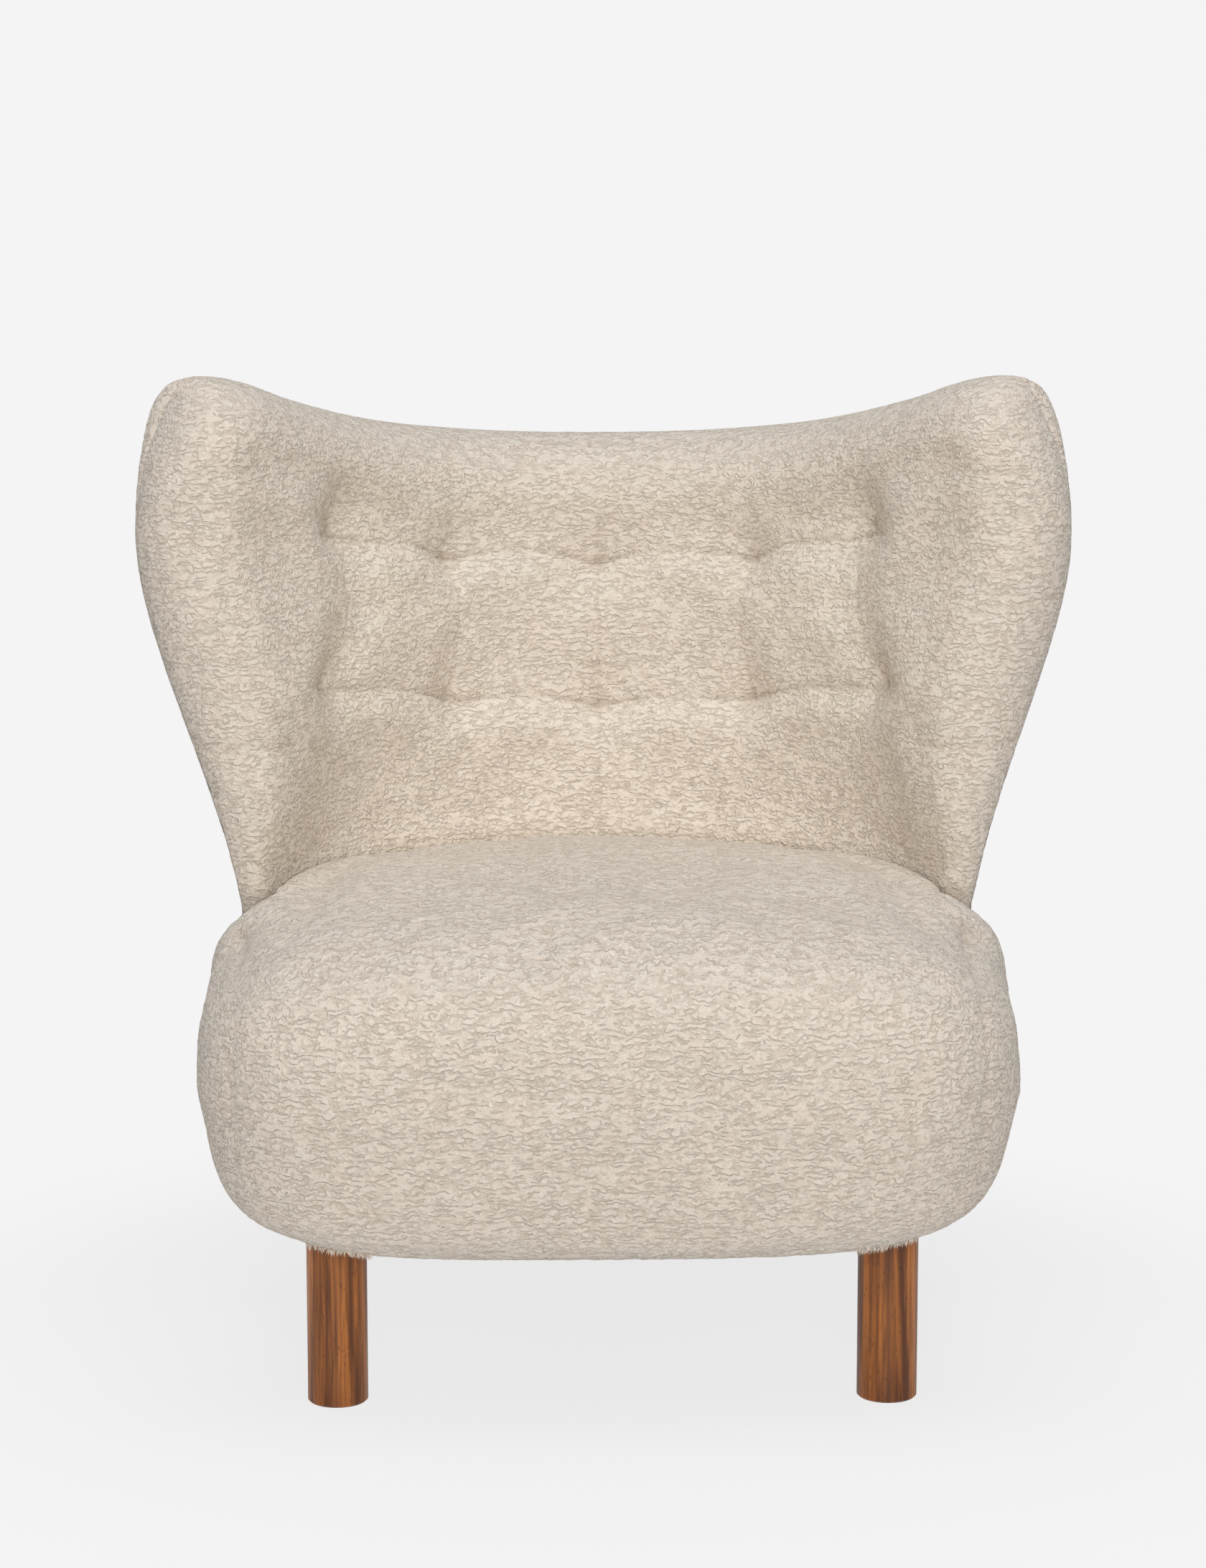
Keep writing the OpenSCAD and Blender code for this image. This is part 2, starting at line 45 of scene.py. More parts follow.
SHARE = 0.6  # place of the middle line between the inside and the outside
ROLL = 58.0  # height of the rounded crest
THICK = 115.0  # of the back, at its middle
WAIST = 388.0  # height where the back is narrowest
BASE = 125.0  # lower edge of the back
INSIDE_RUN, OUTSIDE_RUN = 530.0, 700.0  # millimetres of cloth for each 1 of u, in the middle part
MID = 265.5  # height of the seat's widest line
UP, DOWN = 140.5, 130.3  # from that line up to the top's edge, and down to the underside
SEAT_H = MID + UP
SEAT_Y, FRONT, REAR, HALF = -150.0, 232.0, 306.0, 339.5  # middle of the seat, and its reach from there
LEAN = -5.6  # the hand-made seat cover sits a little to one side
WALL_GAP = 3.0  # between the seat and the back
PAD_LOW, FOAM_Z = 202.0, 228.4  # lower ends of the inner padding and of the seat foam
RAIL_LOW, RAIL_OUT, RAIL_FRONT = 158.0, 258.1, -287.0  # seat rails: underside, outer side and front

# How finely the meshes are divided
COARSE = 4  # the cloth simulation takes every fourth point
FACE_RATIO = 8  # a cover's inside face takes every eighth
BACK_ROWS, INNER_COLUMNS, OUTER_COLUMNS = 225, 393, 401
SEAT_CELLS, SEAT_ROWS = 84, 100  # on the top from the middle to the rim, and down the side


def mix(a, b, t):
    return a + (b - a) * t


def unit(t):
    return np.clip(t, 0, 1)


def ease(t):
    t = unit(t)
    return t * t * (3 - 2 * t)


def bell(d, width):
    return np.exp(-((d / width) ** 2))


def spline(x, knots, values):
    """Smooth curve through the given values."""
    k, v = np.asarray(knots, float), np.asarray(values, float)
    slope = np.gradient(v, k)
    i = np.clip(np.searchsorted(k, x, side="right") - 1, 0, len(k) - 2)
    h = k[i + 1] - k[i]
    t = unit((x - k[i]) / h)
    return ((1 + 2 * t) * (1 - t) ** 2 * v[i] + t * (1 - t) ** 2 * h * slope[i]
            + t * t * (3 - 2 * t) * v[i + 1] + t * t * (t - 1) * h * slope[i + 1])


def bezier(t, a, b, c, d):
    s = 1 - t
    return s**3 * a + 3 * s * s * t * b + 3 * s * t * t * c + t**3 * d


def half_out(z):
    """Half the width over the wings at a height."""
    t = unit((z - WAIST) / 327)
    low = unit((WAIST - z) / 122.5)
    return 314 + 93 * np.sin(np.pi / 2 * t**1.4) + 28 * np.sin(np.pi / 2 * low) ** 2


def edge_radius(z):
    return mix(15, 58, ease((z - 390) / 250))


def edge_turn(z):
    """Angle by which a wing's edge turns outward."""
    return np.radians(mix(18, 36, ease((z - 380) / 240)))


def tip_front(z):
    """Front edge of the wings, which sweeps back above and below the seat's top."""
    high = 38 * np.clip((z - SEAT_H) / 250, 0, 2)
    low = 119 * np.sin(np.pi / 2 * unit((SEAT_H - z) / 281))
    return -104 + 6 * np.logaddexp(high / 6, low / 6)


def y_inside(z):
    """Inside of the back at its middle, leaning back above the seat."""
    d = z - SEAT_H
    return 160 + math.tan(math.radians(15)) * (0.5 * (d + np.sqrt(d * d + 3600)) - 30)


def crest(u):
    """Height of the top edge, which rises to the wings and rounds off at their ends."""
    a = np.abs(u)
    end = unit((a - 0.77) / 0.23)
    lift = spline(a, [0, 0.1, 0.2, 0.3, 0.4, 0.5, 0.6, 0.65, 0.7, 0.75, 0.8, 0.85, 0.9, 0.95, 1],
                  [-1.6, -1, 0.9, 2.7, 5.1, 7.6, 9.5, 11.2, 11, 8, -0.4, -9.5, -15.5, -9.5, -1])
    rise = mix(772, 838, unit(a / 0.82) ** 1.95)
    return rise + lift - 200 * (1 - np.sqrt(1 - unit(end**2.6)))


def low_edge(u):
    """Lower edge of the inner cover, which goes down to the base on the wings only."""
    return mix(PAD_LOW, BASE + 1, ease((np.abs(u) - 0.62) / 0.16))


def shell(u, z, side, d=0.0):
    """Point of the back shell: side 1 is the inside, -1 the outside, d the depth below the cloth."""
    a, sign = np.abs(u), np.where(u < 0, -1.0, 1.0)
    top = crest(u) - d
    z = np.minimum(z, top)
    full_r, turn = edge_radius(z), edge_turn(z)
    cx, cy, r = half_out(z) - full_r, tip_front(z) + full_r, np.maximum(2, full_r - d)
    sa, ca = np.sin(turn), np.cos(turn)
    # both sides as curves from the middle of the back to where the rounded edge starts
    y_in, y_out = y_inside(z) + d, y_inside(z) + THICK - d
    t = unit(a / (1 - CAP))
    ex, ey, ox, oy = cx - r * ca, cy - r * sa, cx + r * ca, cy + r * sa
    in_x, in_y = bezier(t, 0, 170, ex - 120 * sa, ex), bezier(t, y_in, y_in, ey + 120 * ca, ey)
    out_x, out_y = bezier(t, 0, 286.4, ox - 190 * sa, ox), bezier(t, y_out, y_out, oy + 190 * ca, oy)

    def rounded(b):
        """Point of the wing's rounded edge at angle b."""
        return cx - r * np.cos(b) * ca + r * np.sin(b) * sa, cy - r * np.cos(b) * sa - r * np.sin(b) * ca

    # the middle line, which ends in that edge
    tip, tb, q = a > 1 - CAP, unit((a - 1 + CAP) / CAP), 2 * SHARE - 1
    sx, sy = rounded(SPLIT)
    rx, ry = rounded(tb * SPLIT if side > 0 else np.pi - tb * (np.pi - SPLIT))
    mx = np.where(tip, mix(cx + q * r * ca, sx, tb), mix(in_x, out_x, SHARE))
    my = np.where(tip, mix(cy + q * r * sa, sy, tb), mix(in_y, out_y, SHARE))
    x = np.where(tip, rx, in_x if side > 0 else out_x)
    y = np.where(tip, ry, in_y if side > 0 else out_y)
    # the crest, where each side rolls over to the middle line
    e = np.sqrt(unit(1 - (1 - unit((top - z) / ROLL)) ** 2))
    return np.stack([sign * (mx + (x - mx) * e), my + (y - my) * e, z], -1)


# Seeded noise on points
def dice(i, j, k, seed):
    n = (i * 73856093) ^ (j * 19349663) ^ (k * 83492791) ^ (seed * 2654435761)
    n = (n ^ (n >> 13)) & 0xFFFFFFFF
    n = (n * 1274126177) & 0xFFFFFFFF
    return ((n ^ (n >> 16)) & 0xFFFFFF) / 0x1000000


def smooth_noise(p, size, seed):
    """Value noise from -1 to 1 on points in millimetres."""
    q = p / np.asarray(size, float) + 1000.0
    c = np.floor(q).astype(np.int64)
    f = q - c
    f = f * f * (3 - 2 * f)
    total = 0
    for corner in np.ndindex(2, 2, 2):
        w = np.where(corner, f, 1 - f)
        total = total + w[..., 0] * w[..., 1] * w[..., 2] * dice(*np.moveaxis(c + corner, -1, 0), seed)
    return total * 2 - 1


def broad(p):
    """Slow hand-made unevenness of the stuffing."""
    return 1.5 * smooth_noise(p, (95, 95, 70), 31) + 0.7 * smooth_noise(p, (42, 42, 30), 32)


# Meshes
def put(name, data):
    """Object in the scene."""
    obj = bpy.data.objects.new(name, data)
    bpy.context.scene.collection.objects.link(obj)
    return obj


def normals(grid):
    du, dv = np.gradient(grid, axis=1), np.gradient(grid, axis=0)
    n = np.cross(du, dv)
    return n / np.maximum(1e-9, np.linalg.norm(n, axis=-1, keepdims=True))


def build(name, points, quads, tris, out=np.zeros((0, 3)), painted_shade=(), painted_light=()):
    """Object from points in millimetres. out is the way the pile stands; the two values are painted shade,
    darkening tufts, seams and creases, and painted light, making the cloth paler. Points past the end of
    these have zero."""
    mesh = bpy.data.meshes.new(name)
    faces = [tuple(f) for part in [*quads, np.asarray(tris)] for f in part.tolist()]
    pts = np.asarray(points, float)
    first, second, third = (pts[[f[k] for f in faces]] for k in range(3))
    if np.einsum("ij,ij->i", first, np.cross(second, third)).sum() < 0:
        faces = [f[::-1] for f in faces]
    world = (pts + [0, SHIFT, 0]) / 1000
    mesh.from_pydata(world.tolist(), [], faces)
    mesh.polygons.foreach_set("use_smooth", [True] * len(mesh.polygons))
    mesh.update()
    mesh.set_sharp_from_angle(angle=math.radians(70))
    for key, values in (("out", out), ("painted_shade", painted_shade), ("painted_light", painted_light)):
        full = np.zeros((len(pts), *np.shape(values)[1:]), np.float32)
        full[:len(values)] = values
        kind, field = ("FLOAT", "value") if full.ndim == 1 else ("FLOAT_VECTOR", "vector")
        mesh.attributes.new(key, kind, "POINT").data.foreach_set(field, full.ravel())
    return put(name, mesh)


def grid_quads(n, m, start=0, flip=False, wrap=False):
    """Faces of a grid of n rows and m columns, whose first point has the index start."""
    i, j = np.meshgrid(np.arange(n - 1), np.arange(m if wrap else m - 1), indexing="ij")
    k = (j + 1) % m
    a, b, c, d = i * m + j, i * m + k, (i + 1) * m + k, (i + 1) * m + j
    return np.stack([a, d, c, b] if flip else [a, b, c, d], -1).reshape(-1, 4) + start


def loop_of(n, m):
    """Indices round the edge of an n by m grid."""
    return np.concatenate([np.arange(0, m - 1), np.arange(0, n - 1) * m + m - 1,
                           (n - 1) * m + np.arange(m - 1, 0, -1), np.arange(n - 1, 0, -1) * m])


def stitch(fine, coarse):
    """Triangles between a fine loop and one that is FACE_RATIO times coarser."""
    tris, count = [], len(coarse)
    for j in range(count):
        a, b = coarse[j], coarse[(j + 1) % count]
        for k in range(FACE_RATIO):
            p, q = fine[j * FACE_RATIO + k], fine[(j * FACE_RATIO + k + 1) % len(fine)]
            tris.append((q, p, a if k < FACE_RATIO / 2 else b))
            if k == FACE_RATIO // 2 - 1:
                tris.append((q, a, b))
    return tris


def spread(grid, wrap=False):
    """Moves of the simulated points carried smoothly onto all points."""
    grid = np.concatenate([grid, grid[:, :1]], 1) if wrap else grid
    for axis in (0, 1):
        x = np.arange((grid.shape[axis] - 1) * COARSE + 1) / COARSE
        i = np.minimum(x.astype(int), grid.shape[axis] - 2)
        f = (x - i).reshape((-1, 1, 1) if axis == 0 else (1, -1, 1))
        grid = np.take(grid, i, axis) * (1 - f) + np.take(grid, i + 1, axis) * f
    grid = grid[:, :-1] if wrap else grid
    for _ in range(5 * COARSE):
        side = np.pad(grid, ((0, 0), (1, 1), (0, 0)), mode="wrap" if wrap else "edge")
        grid = (side[:, :-2] + 2 * grid + side[:, 2:]) / 4
        side = np.pad(grid, ((1, 1), (0, 0), (0, 0)), mode="edge")
        grid = (side[:-2] + 2 * grid + side[2:]) / 4
    return grid


# Cloth simulation
HOLD = 0.2  # the padding under the cloth holds it lightly everywhere
STEPS = 20


def loose_cloth(points, faces, pins):
    """Object for a cover that is held at its pins and blown up from inside."""
    mesh = bpy.data.meshes.new("blown")
    loose = faces[(np.round(pins, 1)[faces] < 0.95).any(1)]
    mesh.from_pydata((points / 1000).tolist(), [], loose.tolist())
    obj = put("blown", mesh)
    group = obj.vertex_groups.new(name="pins")
    levels = np.round(np.clip(pins, HOLD, 1), 1)
    for level in np.unique(levels[levels > 0]):
        group.add(np.where(levels == level)[0].tolist(), float(level), "REPLACE")
    cloth = obj.modifiers.new("cloth", "CLOTH")
    s = cloth.settings
    s.quality, s.mass, s.air_damping = 6, 0.3, 2.0
    s.tension_stiffness = s.compression_stiffness = 40
    s.shear_stiffness, s.bending_stiffness = 28, 2.0
    s.use_pressure, s.uniform_pressure_force = True, 2.4
    s.vertex_group_mass = "pins"
    s.shrink_min = -0.02
    s.effector_weights.gravity = 0
    cloth.point_cache.frame_start, cloth.point_cache.frame_end = 1, STEPS
    return obj


def blow_up(covers):
    """Blows up all covers at once, each given as points, faces, pins and cap. The result is how far its
    points move, always less than the cap."""
    scene = bpy.context.scene
    made = [loose_cloth(points, faces, pins) for points, faces, pins, _ in covers]
    for step in range(1, STEPS + 1):
        scene.frame_set(step)
    deps = bpy.context.evaluated_depsgraph_get()
    moves = []
    for obj, (points, _, _, cap) in zip(made, covers):
        co = np.empty(len(points) * 3)
        obj.evaluated_get(deps).data.vertices.foreach_get("co", co)
        move = co.reshape(-1, 3) * 1000 - points
        size = np.maximum(np.linalg.norm(move, axis=-1, keepdims=True), 1e-9)
        moves.append(move * cap * np.tanh(size / cap) / size)
    scene.frame_set(1)
    for obj in made:
        bpy.data.meshes.remove(obj.data)  # and its object
    return moves


# Back covers
def columns(count):
    """Values of u from -1 to 1, closer together towards the wing edges."""
    s = np.linspace(-1, 1, count)
    a = np.abs(s)
    a = np.where(a < 0.86, a * 0.9 / 0.86, 1 - 0.1 * ((1 - a) / 0.14) ** 1.35)
    return np.sign(s) * a


def heights(u, low):
    """Rows from the lower edge up to the crest, evenly spaced along the cloth at the middle."""
    w = np.linspace(0, 1, BACK_ROWS)[:, None]
    straight = 0.84
    top = crest(u)[None, :]
    phi = np.pi / 2 * (1 - unit((w - straight) / (1 - straight)))
    return np.where(w < straight, low + (top - ROLL - low) * w / straight, top - ROLL * (1 - np.cos(phi)))


# Sewn lines of the inner back, the same on both sides: tufts by u and height, upright seams by u at
# heights and pleats by heights at u
TUFTS = [(0.0, 659), (0.247, 667), (0.502, 702), (0.0, 529), (0.247, 540), (0.58, 565)]
OUTER_Z = [400, 430, 470, 520, 565, 600, 634, 670, 702, 736, 800]
OUTER_U = [0.405, 0.42, 0.45, 0.52, 0.575, 0.535, 0.51, 0.497, 0.5, 0.51, 0.525]
INNER_Z = [400, 455, 540, 600, 667, 720, 800]
INNER_U = [0.17, 0.192, 0.247, 0.24, 0.247, 0.245, 0.24]
PLEATS = [([0, 0.02, 0.055, 0.11, 0.18, 0.22, 0.247, 0.275, 0.315, 0.38, 0.46, 0.51],
           [657, 660, 665, 667.5, 667.5, 665.5, 664, 670, 677, 683, 689, 696]),
          ([0, 0.03, 0.075, 0.135, 0.185, 0.23, 0.247, 0.275, 0.32, 0.38, 0.46, 0.555, 0.59],
           [528.5, 531, 535, 535.5, 535, 535.5, 537, 541, 546.5, 551, 555.5, 560.5, 563])]
WING_SEAMS = [(757, -10), (525, 25)]  # height in the middle of the wing, and slope


def pleat_share(a):
    """1 where the pleats are full, and 0 past the outer valley."""
    return 1 - ease((a - 0.52) / 0.1)


def seam_share(z):
    """1 where the upright seams are full, and 0 at the crest."""
    return ease((790 - z) / 60)


def from_seams(a, z):
    """Distance from the outer valley, the inner seam and the middle seam."""
    return [(a - place) * INSIDE_RUN for place in
            (np.interp(z, OUTER_Z, OUTER_U), np.interp(z, INNER_Z, INNER_U), 0)]


def sewn(u, z):
    """Tufts, pleats and seams: depth of the broad hollows and of the narrow creases in them, and the painted
    shade of a crease, from 0 to 1."""
    a = np.abs(u)
    hole = cusp = dark = reach = 0
    for c, h in TUFTS:
        dx, dz = (a - c) * INSIDE_RUN, z - h
        r = np.sqrt(dx * dx + (dz * np.where(dz > 0, 0.9, 1.35)) ** 2)
        hole = np.maximum(hole, 8 * bell(r, 36))
        cusp = np.maximum(cusp, 6 * np.exp(-r / 12))
        dark = np.maximum(dark, 0.65 * np.exp(-((r / 8) ** 1.5)))
        reach = np.maximum(reach, bell(dx, 30) * bell(dz, 60))
    keep = pleat_share(a)
    roll = line = 0
    for knots, values in PLEATS:
        dz = z - spline(a, knots, values)
        up = dz > 0
        roll = np.maximum(roll, np.where(up, bell(dz, 42), bell(dz, 20)))
        line = np.maximum(line, np.where(up, np.exp(-dz / 5.5), np.exp(dz / 3)))
        dark = np.maximum(dark, keep * (0.3 + 0.3 * reach) * bell(dz - 1.2, 2.8))
        dark = np.maximum(dark, keep * 0.1 * np.where(up, bell(dz, 14), 0))
    broad_part = np.sqrt(hole**2 + (keep * (5.5 + 3 * reach) * roll) ** 2)
    sharp_part = np.sqrt(cusp**2 + (keep * (2.6 + 1.8 * reach) * line) ** 2)
    fade = seam_share(z)
    outer, inner, middle = from_seams(a, z)
    valley = fade * mix(0.12, 1, ease((z - 490) / 75))
    dip = 6.5 * np.where(outer > 0, bell(outer, 32), bell(outer, 44))
    broad_part = broad_part + valley * (dip - 5 * bell(outer - 70, 42))
    puff = bell((a - 0.72) * INSIDE_RUN, 62) * bell(z - 480, 75) * ease((z - 405) / 30)
    broad_part = broad_part - 12 * puff
    broad_part = broad_part + fade * (2.2 * bell(inner, 20) + 1.0 * bell(middle, 18))
    sharp_part = sharp_part + fade * (1.0 * bell(outer, 5) + 1.1 * bell(inner, 3.4) + 0.9 * bell(middle, 3.4))
    lines = 0.34 * bell(inner, 2.2) + 0.28 * bell(middle, 2.4) + 0.2 * bell(outer, 3.5)
    dark = np.maximum(dark, fade * lines)
    wing = ease((a - 0.7) / 0.04)
    for h, slope in WING_SEAMS:
        across = z - h - slope * (a - 0.85)
        sharp_part = sharp_part + wing * (1.0 * bell(across, 3.2) + 0.9 * bell(across, 14))
        dark = np.maximum(dark, wing * 0.4 * bell(across, 2.2))
    return broad_part, sharp_part, dark


def line_pins(u, z):
    """How firmly the stitching holds the inner back's cover, from 0 to 1."""
    a = np.abs(u)
    pins = 0
    for c, h in TUFTS:
        pins = np.maximum(pins, bell(np.hypot((a - c) * INSIDE_RUN, z - h), 16))
    for knots, values in PLEATS:
        pins = np.maximum(pins, 0.75 * pleat_share(a) * bell(z - spline(a, knots, values), 9))
    for away, hold, width in zip(from_seams(a, z), (0.5, 0.3, 0.3), (12, 10, 10)):
        pins = np.maximum(pins, hold * seam_share(z) * bell(away, width))
    return pins


def back_grid(count, low, side):
    """Grid of a back cover: u, height, points of its face and their way out."""
    u = columns(count)
    z = heights(u, np.broadcast_to(low, u.shape))
    u = np.broadcast_to(u, z.shape)
    face = shell(u, z, side)
    n = normals(face)
    return u, z, face, n if n[BACK_ROWS // 2, count // 2, 1] * side < 0 else -n


def to_blow(start, pins, side, cap):
    """A back cover as the cloth simulation takes it, with its edges held firmly."""
    pins = pins[::COARSE, ::COARSE].copy()
    pins[0] = pins[-1] = 1
    pins[:, 0] = pins[:, -1] = 1
    coarse = start[::COARSE, ::COARSE]
    return coarse.reshape(-1, 3), grid_quads(*coarse.shape[:2], flip=side > 0), pins.ravel(), cap


def clear(outer, face, n, deep, d):
    """Brings the cloth back out where it would lie deeper than d below the face, except where deep is 1."""
    over = -d - 60 * deep - ((outer - face) * n).sum(-1)
    return outer + n * np.logaddexp(0, over)[..., None]


def depth_at(z):
    """Depth of a cover's inside face near its edges: thin low down, beside the timber."""
    return mix(3.75, 7.0, ease((z - 190) / 40))


def puffed(start, moves, free, n, out):
    """Cloth moved as simulated where it is free, and then shaped outward."""
    moved = spread(moves.reshape(start[::COARSE, ::COARSE].shape))
    return start + moved * free[..., None] + n * out[..., None]


def back_form(name, u, z, outer, n, side, depth, deep, painted_shade, painted_light=()):
    """Closed form of a back cover. Its inside face lies at the given depth, and where deep is 1, half of the
    way to the middle line."""
    u, z, depth, deep = (grid[::FACE_RATIO, ::FACE_RATIO] for grid in (u, z, depth, deep))
    near, far = (shell(u, z, s, depth) for s in (side, -side))
    share = SHARE if side > 0 else 1 - SHARE
    inner = near + (far - near) * (0.5 * share * deep)[..., None]
    rows, cols = outer.shape[:2]
    i, j = np.indices((rows, cols))
    from_edge = np.minimum(np.minimum(i, rows - 1 - i), np.minimum(j, cols - 1 - j))
    out = n * unit(from_edge / 3)[..., None]  # the pile ends where two covers meet
    o = rows * cols
    quads = [grid_quads(rows, cols), grid_quads(*inner.shape[:2], o, flip=True)]
    tris = stitch(loop_of(rows, cols), loop_of(*inner.shape[:2]) + o)
    return build(name, np.concatenate([outer.reshape(-1, 3), inner.reshape(-1, 3)]), quads, tris,
                 out.reshape(-1, 3), painted_shade.ravel(), painted_light)


def inner_start():
    low = low_edge(columns(INNER_COLUMNS))
    u, z, face, n = back_grid(INNER_COLUMNS, low, 1)
    rim = ease((crest(u) - z) / 110) * ease((1 - np.abs(u)) / 0.07)
    hollow, crease, dark = sewn(u, z)
    start = face - n * (rim * hollow + rim * 2)[..., None]
    pins = np.maximum(line_pins(u, z), 0.6 * (1 - rim))
    return to_blow(start, pins, 1, 6.5), (u, z, low, rim, n, face, start, crease, dark)


def back_inner(moves, made):
    u, z, low, rim, n, face, start, crease, dark = made
    a = np.abs(u)
    free = rim * ease((z - 395) / 45) * ease((0.985 - a) / 0.22)
    out = rim * (2 * (1 - free) + broad(start) * ease((z - low) / 30) - crease)
    outer = puffed(start, moves, free, n, out)
    deep = ease((0.95 - a) / 0.1) * ease((crest(u) - z) / 40)
    outer = clear(outer, face, n, deep * ease((0.74 - a) / 0.06), depth_at(z) - 1.5)
    # painted light: the middle of the inner back, more so low down, and the panels beside the outer valleys
    # are made paler
    painted_light = ease((0.62 - a) / 0.2) * mix(0.35, 1.0, ease((640 - z) / 190)) * rim
    painted_light = np.maximum(painted_light, bell((a - 0.45) * INSIDE_RUN, 75) * ease((740 - z) / 50))
    # painted shade in the tufts, pleats and seams, and a little painted shade over the wings
    painted_shade = np.maximum(rim * dark, 0.09 * ease((a - 0.6) / 0.2))
    return back_form("back_inner_upholstery", u, z, outer, n, 1, depth_at(z), deep, painted_shade, painted_light.ravel())


def outer_start():
    u, z, face, n = back_grid(OUTER_COLUMNS, BASE + 1.0, -1)
    a = np.abs(u)
    seam = (a - 0.5) * OUTSIDE_RUN
    rim = ease((crest(u) - z) / 60) * ease((1 - a) / 0.08)
    start = face - n * (4 * rim)[..., None]
    pins = np.maximum(0.5 * bell(seam, 12), 0.7 * (1 - rim))
    return to_blow(start, pins, -1, 6.0), (u, z, rim, n, seam, face, start)


def back_outer(moves, made):
    u, z, rim, n, seam, face, start = made
    a = np.abs(u)
    groove = 0.9 * bell(seam, 3.6) + 1.2 * bell(seam, 16)
    free = rim * ease((0.985 - a) / 0.25) * ease((z - 165) / 110)
    out = rim * (4 * (1 - free) + broad(start) - groove)
    outer = puffed(start, moves, free, n, out)
    deep = ease((0.9 - a) / 0.1) * ease((crest(u) - z) / 40) * ease((z - 180) / 40)
    # the wings are thin at the waist, so there the cloth stays out and its inside face lies deep
    limit = depth_at(z) - 1.5 - 3 * bell(z - 412, 45)
    outer = clear(outer, face, n, deep * ease((0.72 - a) / 0.06), limit)
    depth = depth_at(z) + 4 * bell(z - 412, 45) * ease((a - 0.6) / 0.12)
    # painted shade in the outer back's middle seam
    painted_shade = rim * 0.22 * bell(seam, 2.6)
    return back_form("back_outer_upholstery", u, z, outer, n, -1, depth, deep, painted_shade)


# Seat
WALL_Z = np.linspace(120, SEAT_H, 60)
WALL_Y = np.linspace(-125, 330, 260)


def wall_table():
    """Half width between the inside faces of the back at each height and depth."""
    u = np.linspace(1 - CAP, 0, 60)
    rows = []
    for z in WALL_Z:
        p = shell(u, np.full(u.shape, z), 1)
        rows.append(np.interp(WALL_Y, p[:, 1] + np.arange(len(u)) * 1e-4, np.abs(p[:, 0])))
    return np.array(rows)


WALL = wall_table()


def wall_at(y, z):
    """Half width between the inside faces of the back, read from the table."""
    i, j = (np.clip((v - line[0]) / (line[1] - line[0]), 0, len(line) - 1.001)
            for v, line in ((z, WALL_Z), (y, WALL_Y)))
    a, b = i.astype(int), j.astype(int)
    f, g = i - a, j - b
    return mix(mix(WALL[a, b], WALL[a, b + 1], g), mix(WALL[a + 1, b], WALL[a + 1, b + 1], g), f)


def fit_wall(p, d=0.0):
    """Points kept off the inside of the back by the gap and the depth d."""
    x, y, z = p[..., 0], p[..., 1], p[..., 2]
    y = np.minimum(y, y_inside(z) - WALL_GAP - d)
    lead = np.maximum(0, tip_front(z) - 6 - d - y) * 1.2
    half = np.maximum(4, wall_at(y + WALL_GAP + d, np.minimum(z, SEAT_H)) - WALL_GAP - d + lead)
    half = np.where(y > tip_front(z) - 60, half, 1000)
    return np.stack([np.clip(x, -half, half), y, z], -1)


def seat_plan(c, s, square, d=0.0):
    """Plan outline of the seat for cosine c and sine s of the plan angle; square is its front's power."""
    n = np.where(s < 0, square, 2.3)
    r = (np.abs(c) ** n + np.abs(s) ** n) ** (-1 / n)
    return (HALF - d) * r * c, (np.where(s < 0, FRONT, REAR) - d) * r * s


def lean(s):
    return LEAN * np.sqrt(unit(-s))


def under(s, h):
    """Share of the plan outline that is left at depth h below the widest line, 1 being the bottom."""
    power = mix(5.13, 7.0, ease(2 * s)) + 9 * ease((s - 0.3) / 0.25)
    taper = mix(0.078, 0.0, ease(2 * s + 0.4))
    return (1 - unit(h) ** power) ** (1 / power) - taper * h * (1 - h**7)


def seat_raw(th, t, d=0.0):
    """Seat form by plan angle and profile parameter t: 0 top middle, 2 widest, 3 under the seat."""
    c, s = np.cos(th), np.sin(th)
    px, py = seat_plan(c, s, 3.9, d)
    power = mix(3.3, 7, ease(s + 0.5))
    rim = 2 ** (-1 / power)
    fall = rim * unit(2 - t)
    h = 1 - (1 - unit(t - 2)) ** 3
    k = np.where(t < 1, t * rim, np.where(t < 2, (1 - fall**power) ** (1 / power), under(s, h)))
    up = np.where(t < 1, (1 - unit(k) ** power) ** (1 / power), fall)
    raised = 10 * up * ease((py * k + 50) / 220)
    z = np.where(t < 2, MID + (UP - d) * up + 13 * (1 - k * k) + raised, MID - (DOWN - d) * h)
    return np.stack([px * k + lean(s), SEAT_Y + py * k, z], -1)


def low_z(th):
    """Height of the seat cover's tucked-in edge."""
    return mix(MID - 0.985 * DOWN, PAD_LOW, ease((np.sin(th) - 0.62) / 0.2))


TH = np.linspace(-np.pi, np.pi, 721)
T = np.concatenate([np.linspace(0, 1, 80), np.linspace(1, 2, 160)[1:], np.linspace(2, 3, 240)[1:]])
RIM_T = 1.12  # profile parameter where the top's grid ends and the side begins


def arc_table():
    """Length along the cloth at each plan angle and profile parameter, and at its end and rim."""
    th, t = np.meshgrid(TH, T, indexing="ij")
    p = seat_raw(th, t)
    step = np.linalg.norm(np.diff(p, axis=1), axis=-1)
    s = np.concatenate([np.zeros((len(TH), 1)), np.cumsum(step, 1)], 1)
    low, side = low_z(TH), T >= 2
    ends = [np.interp(-low[i], -p[i, side, 2], s[i, side]) for i in range(len(TH))]
    rims = [np.interp(RIM_T, T, row) for row in s]
    return s, np.array(ends), np.array(rims)


ARC, ARC_END, ARC_RIM = arc_table()


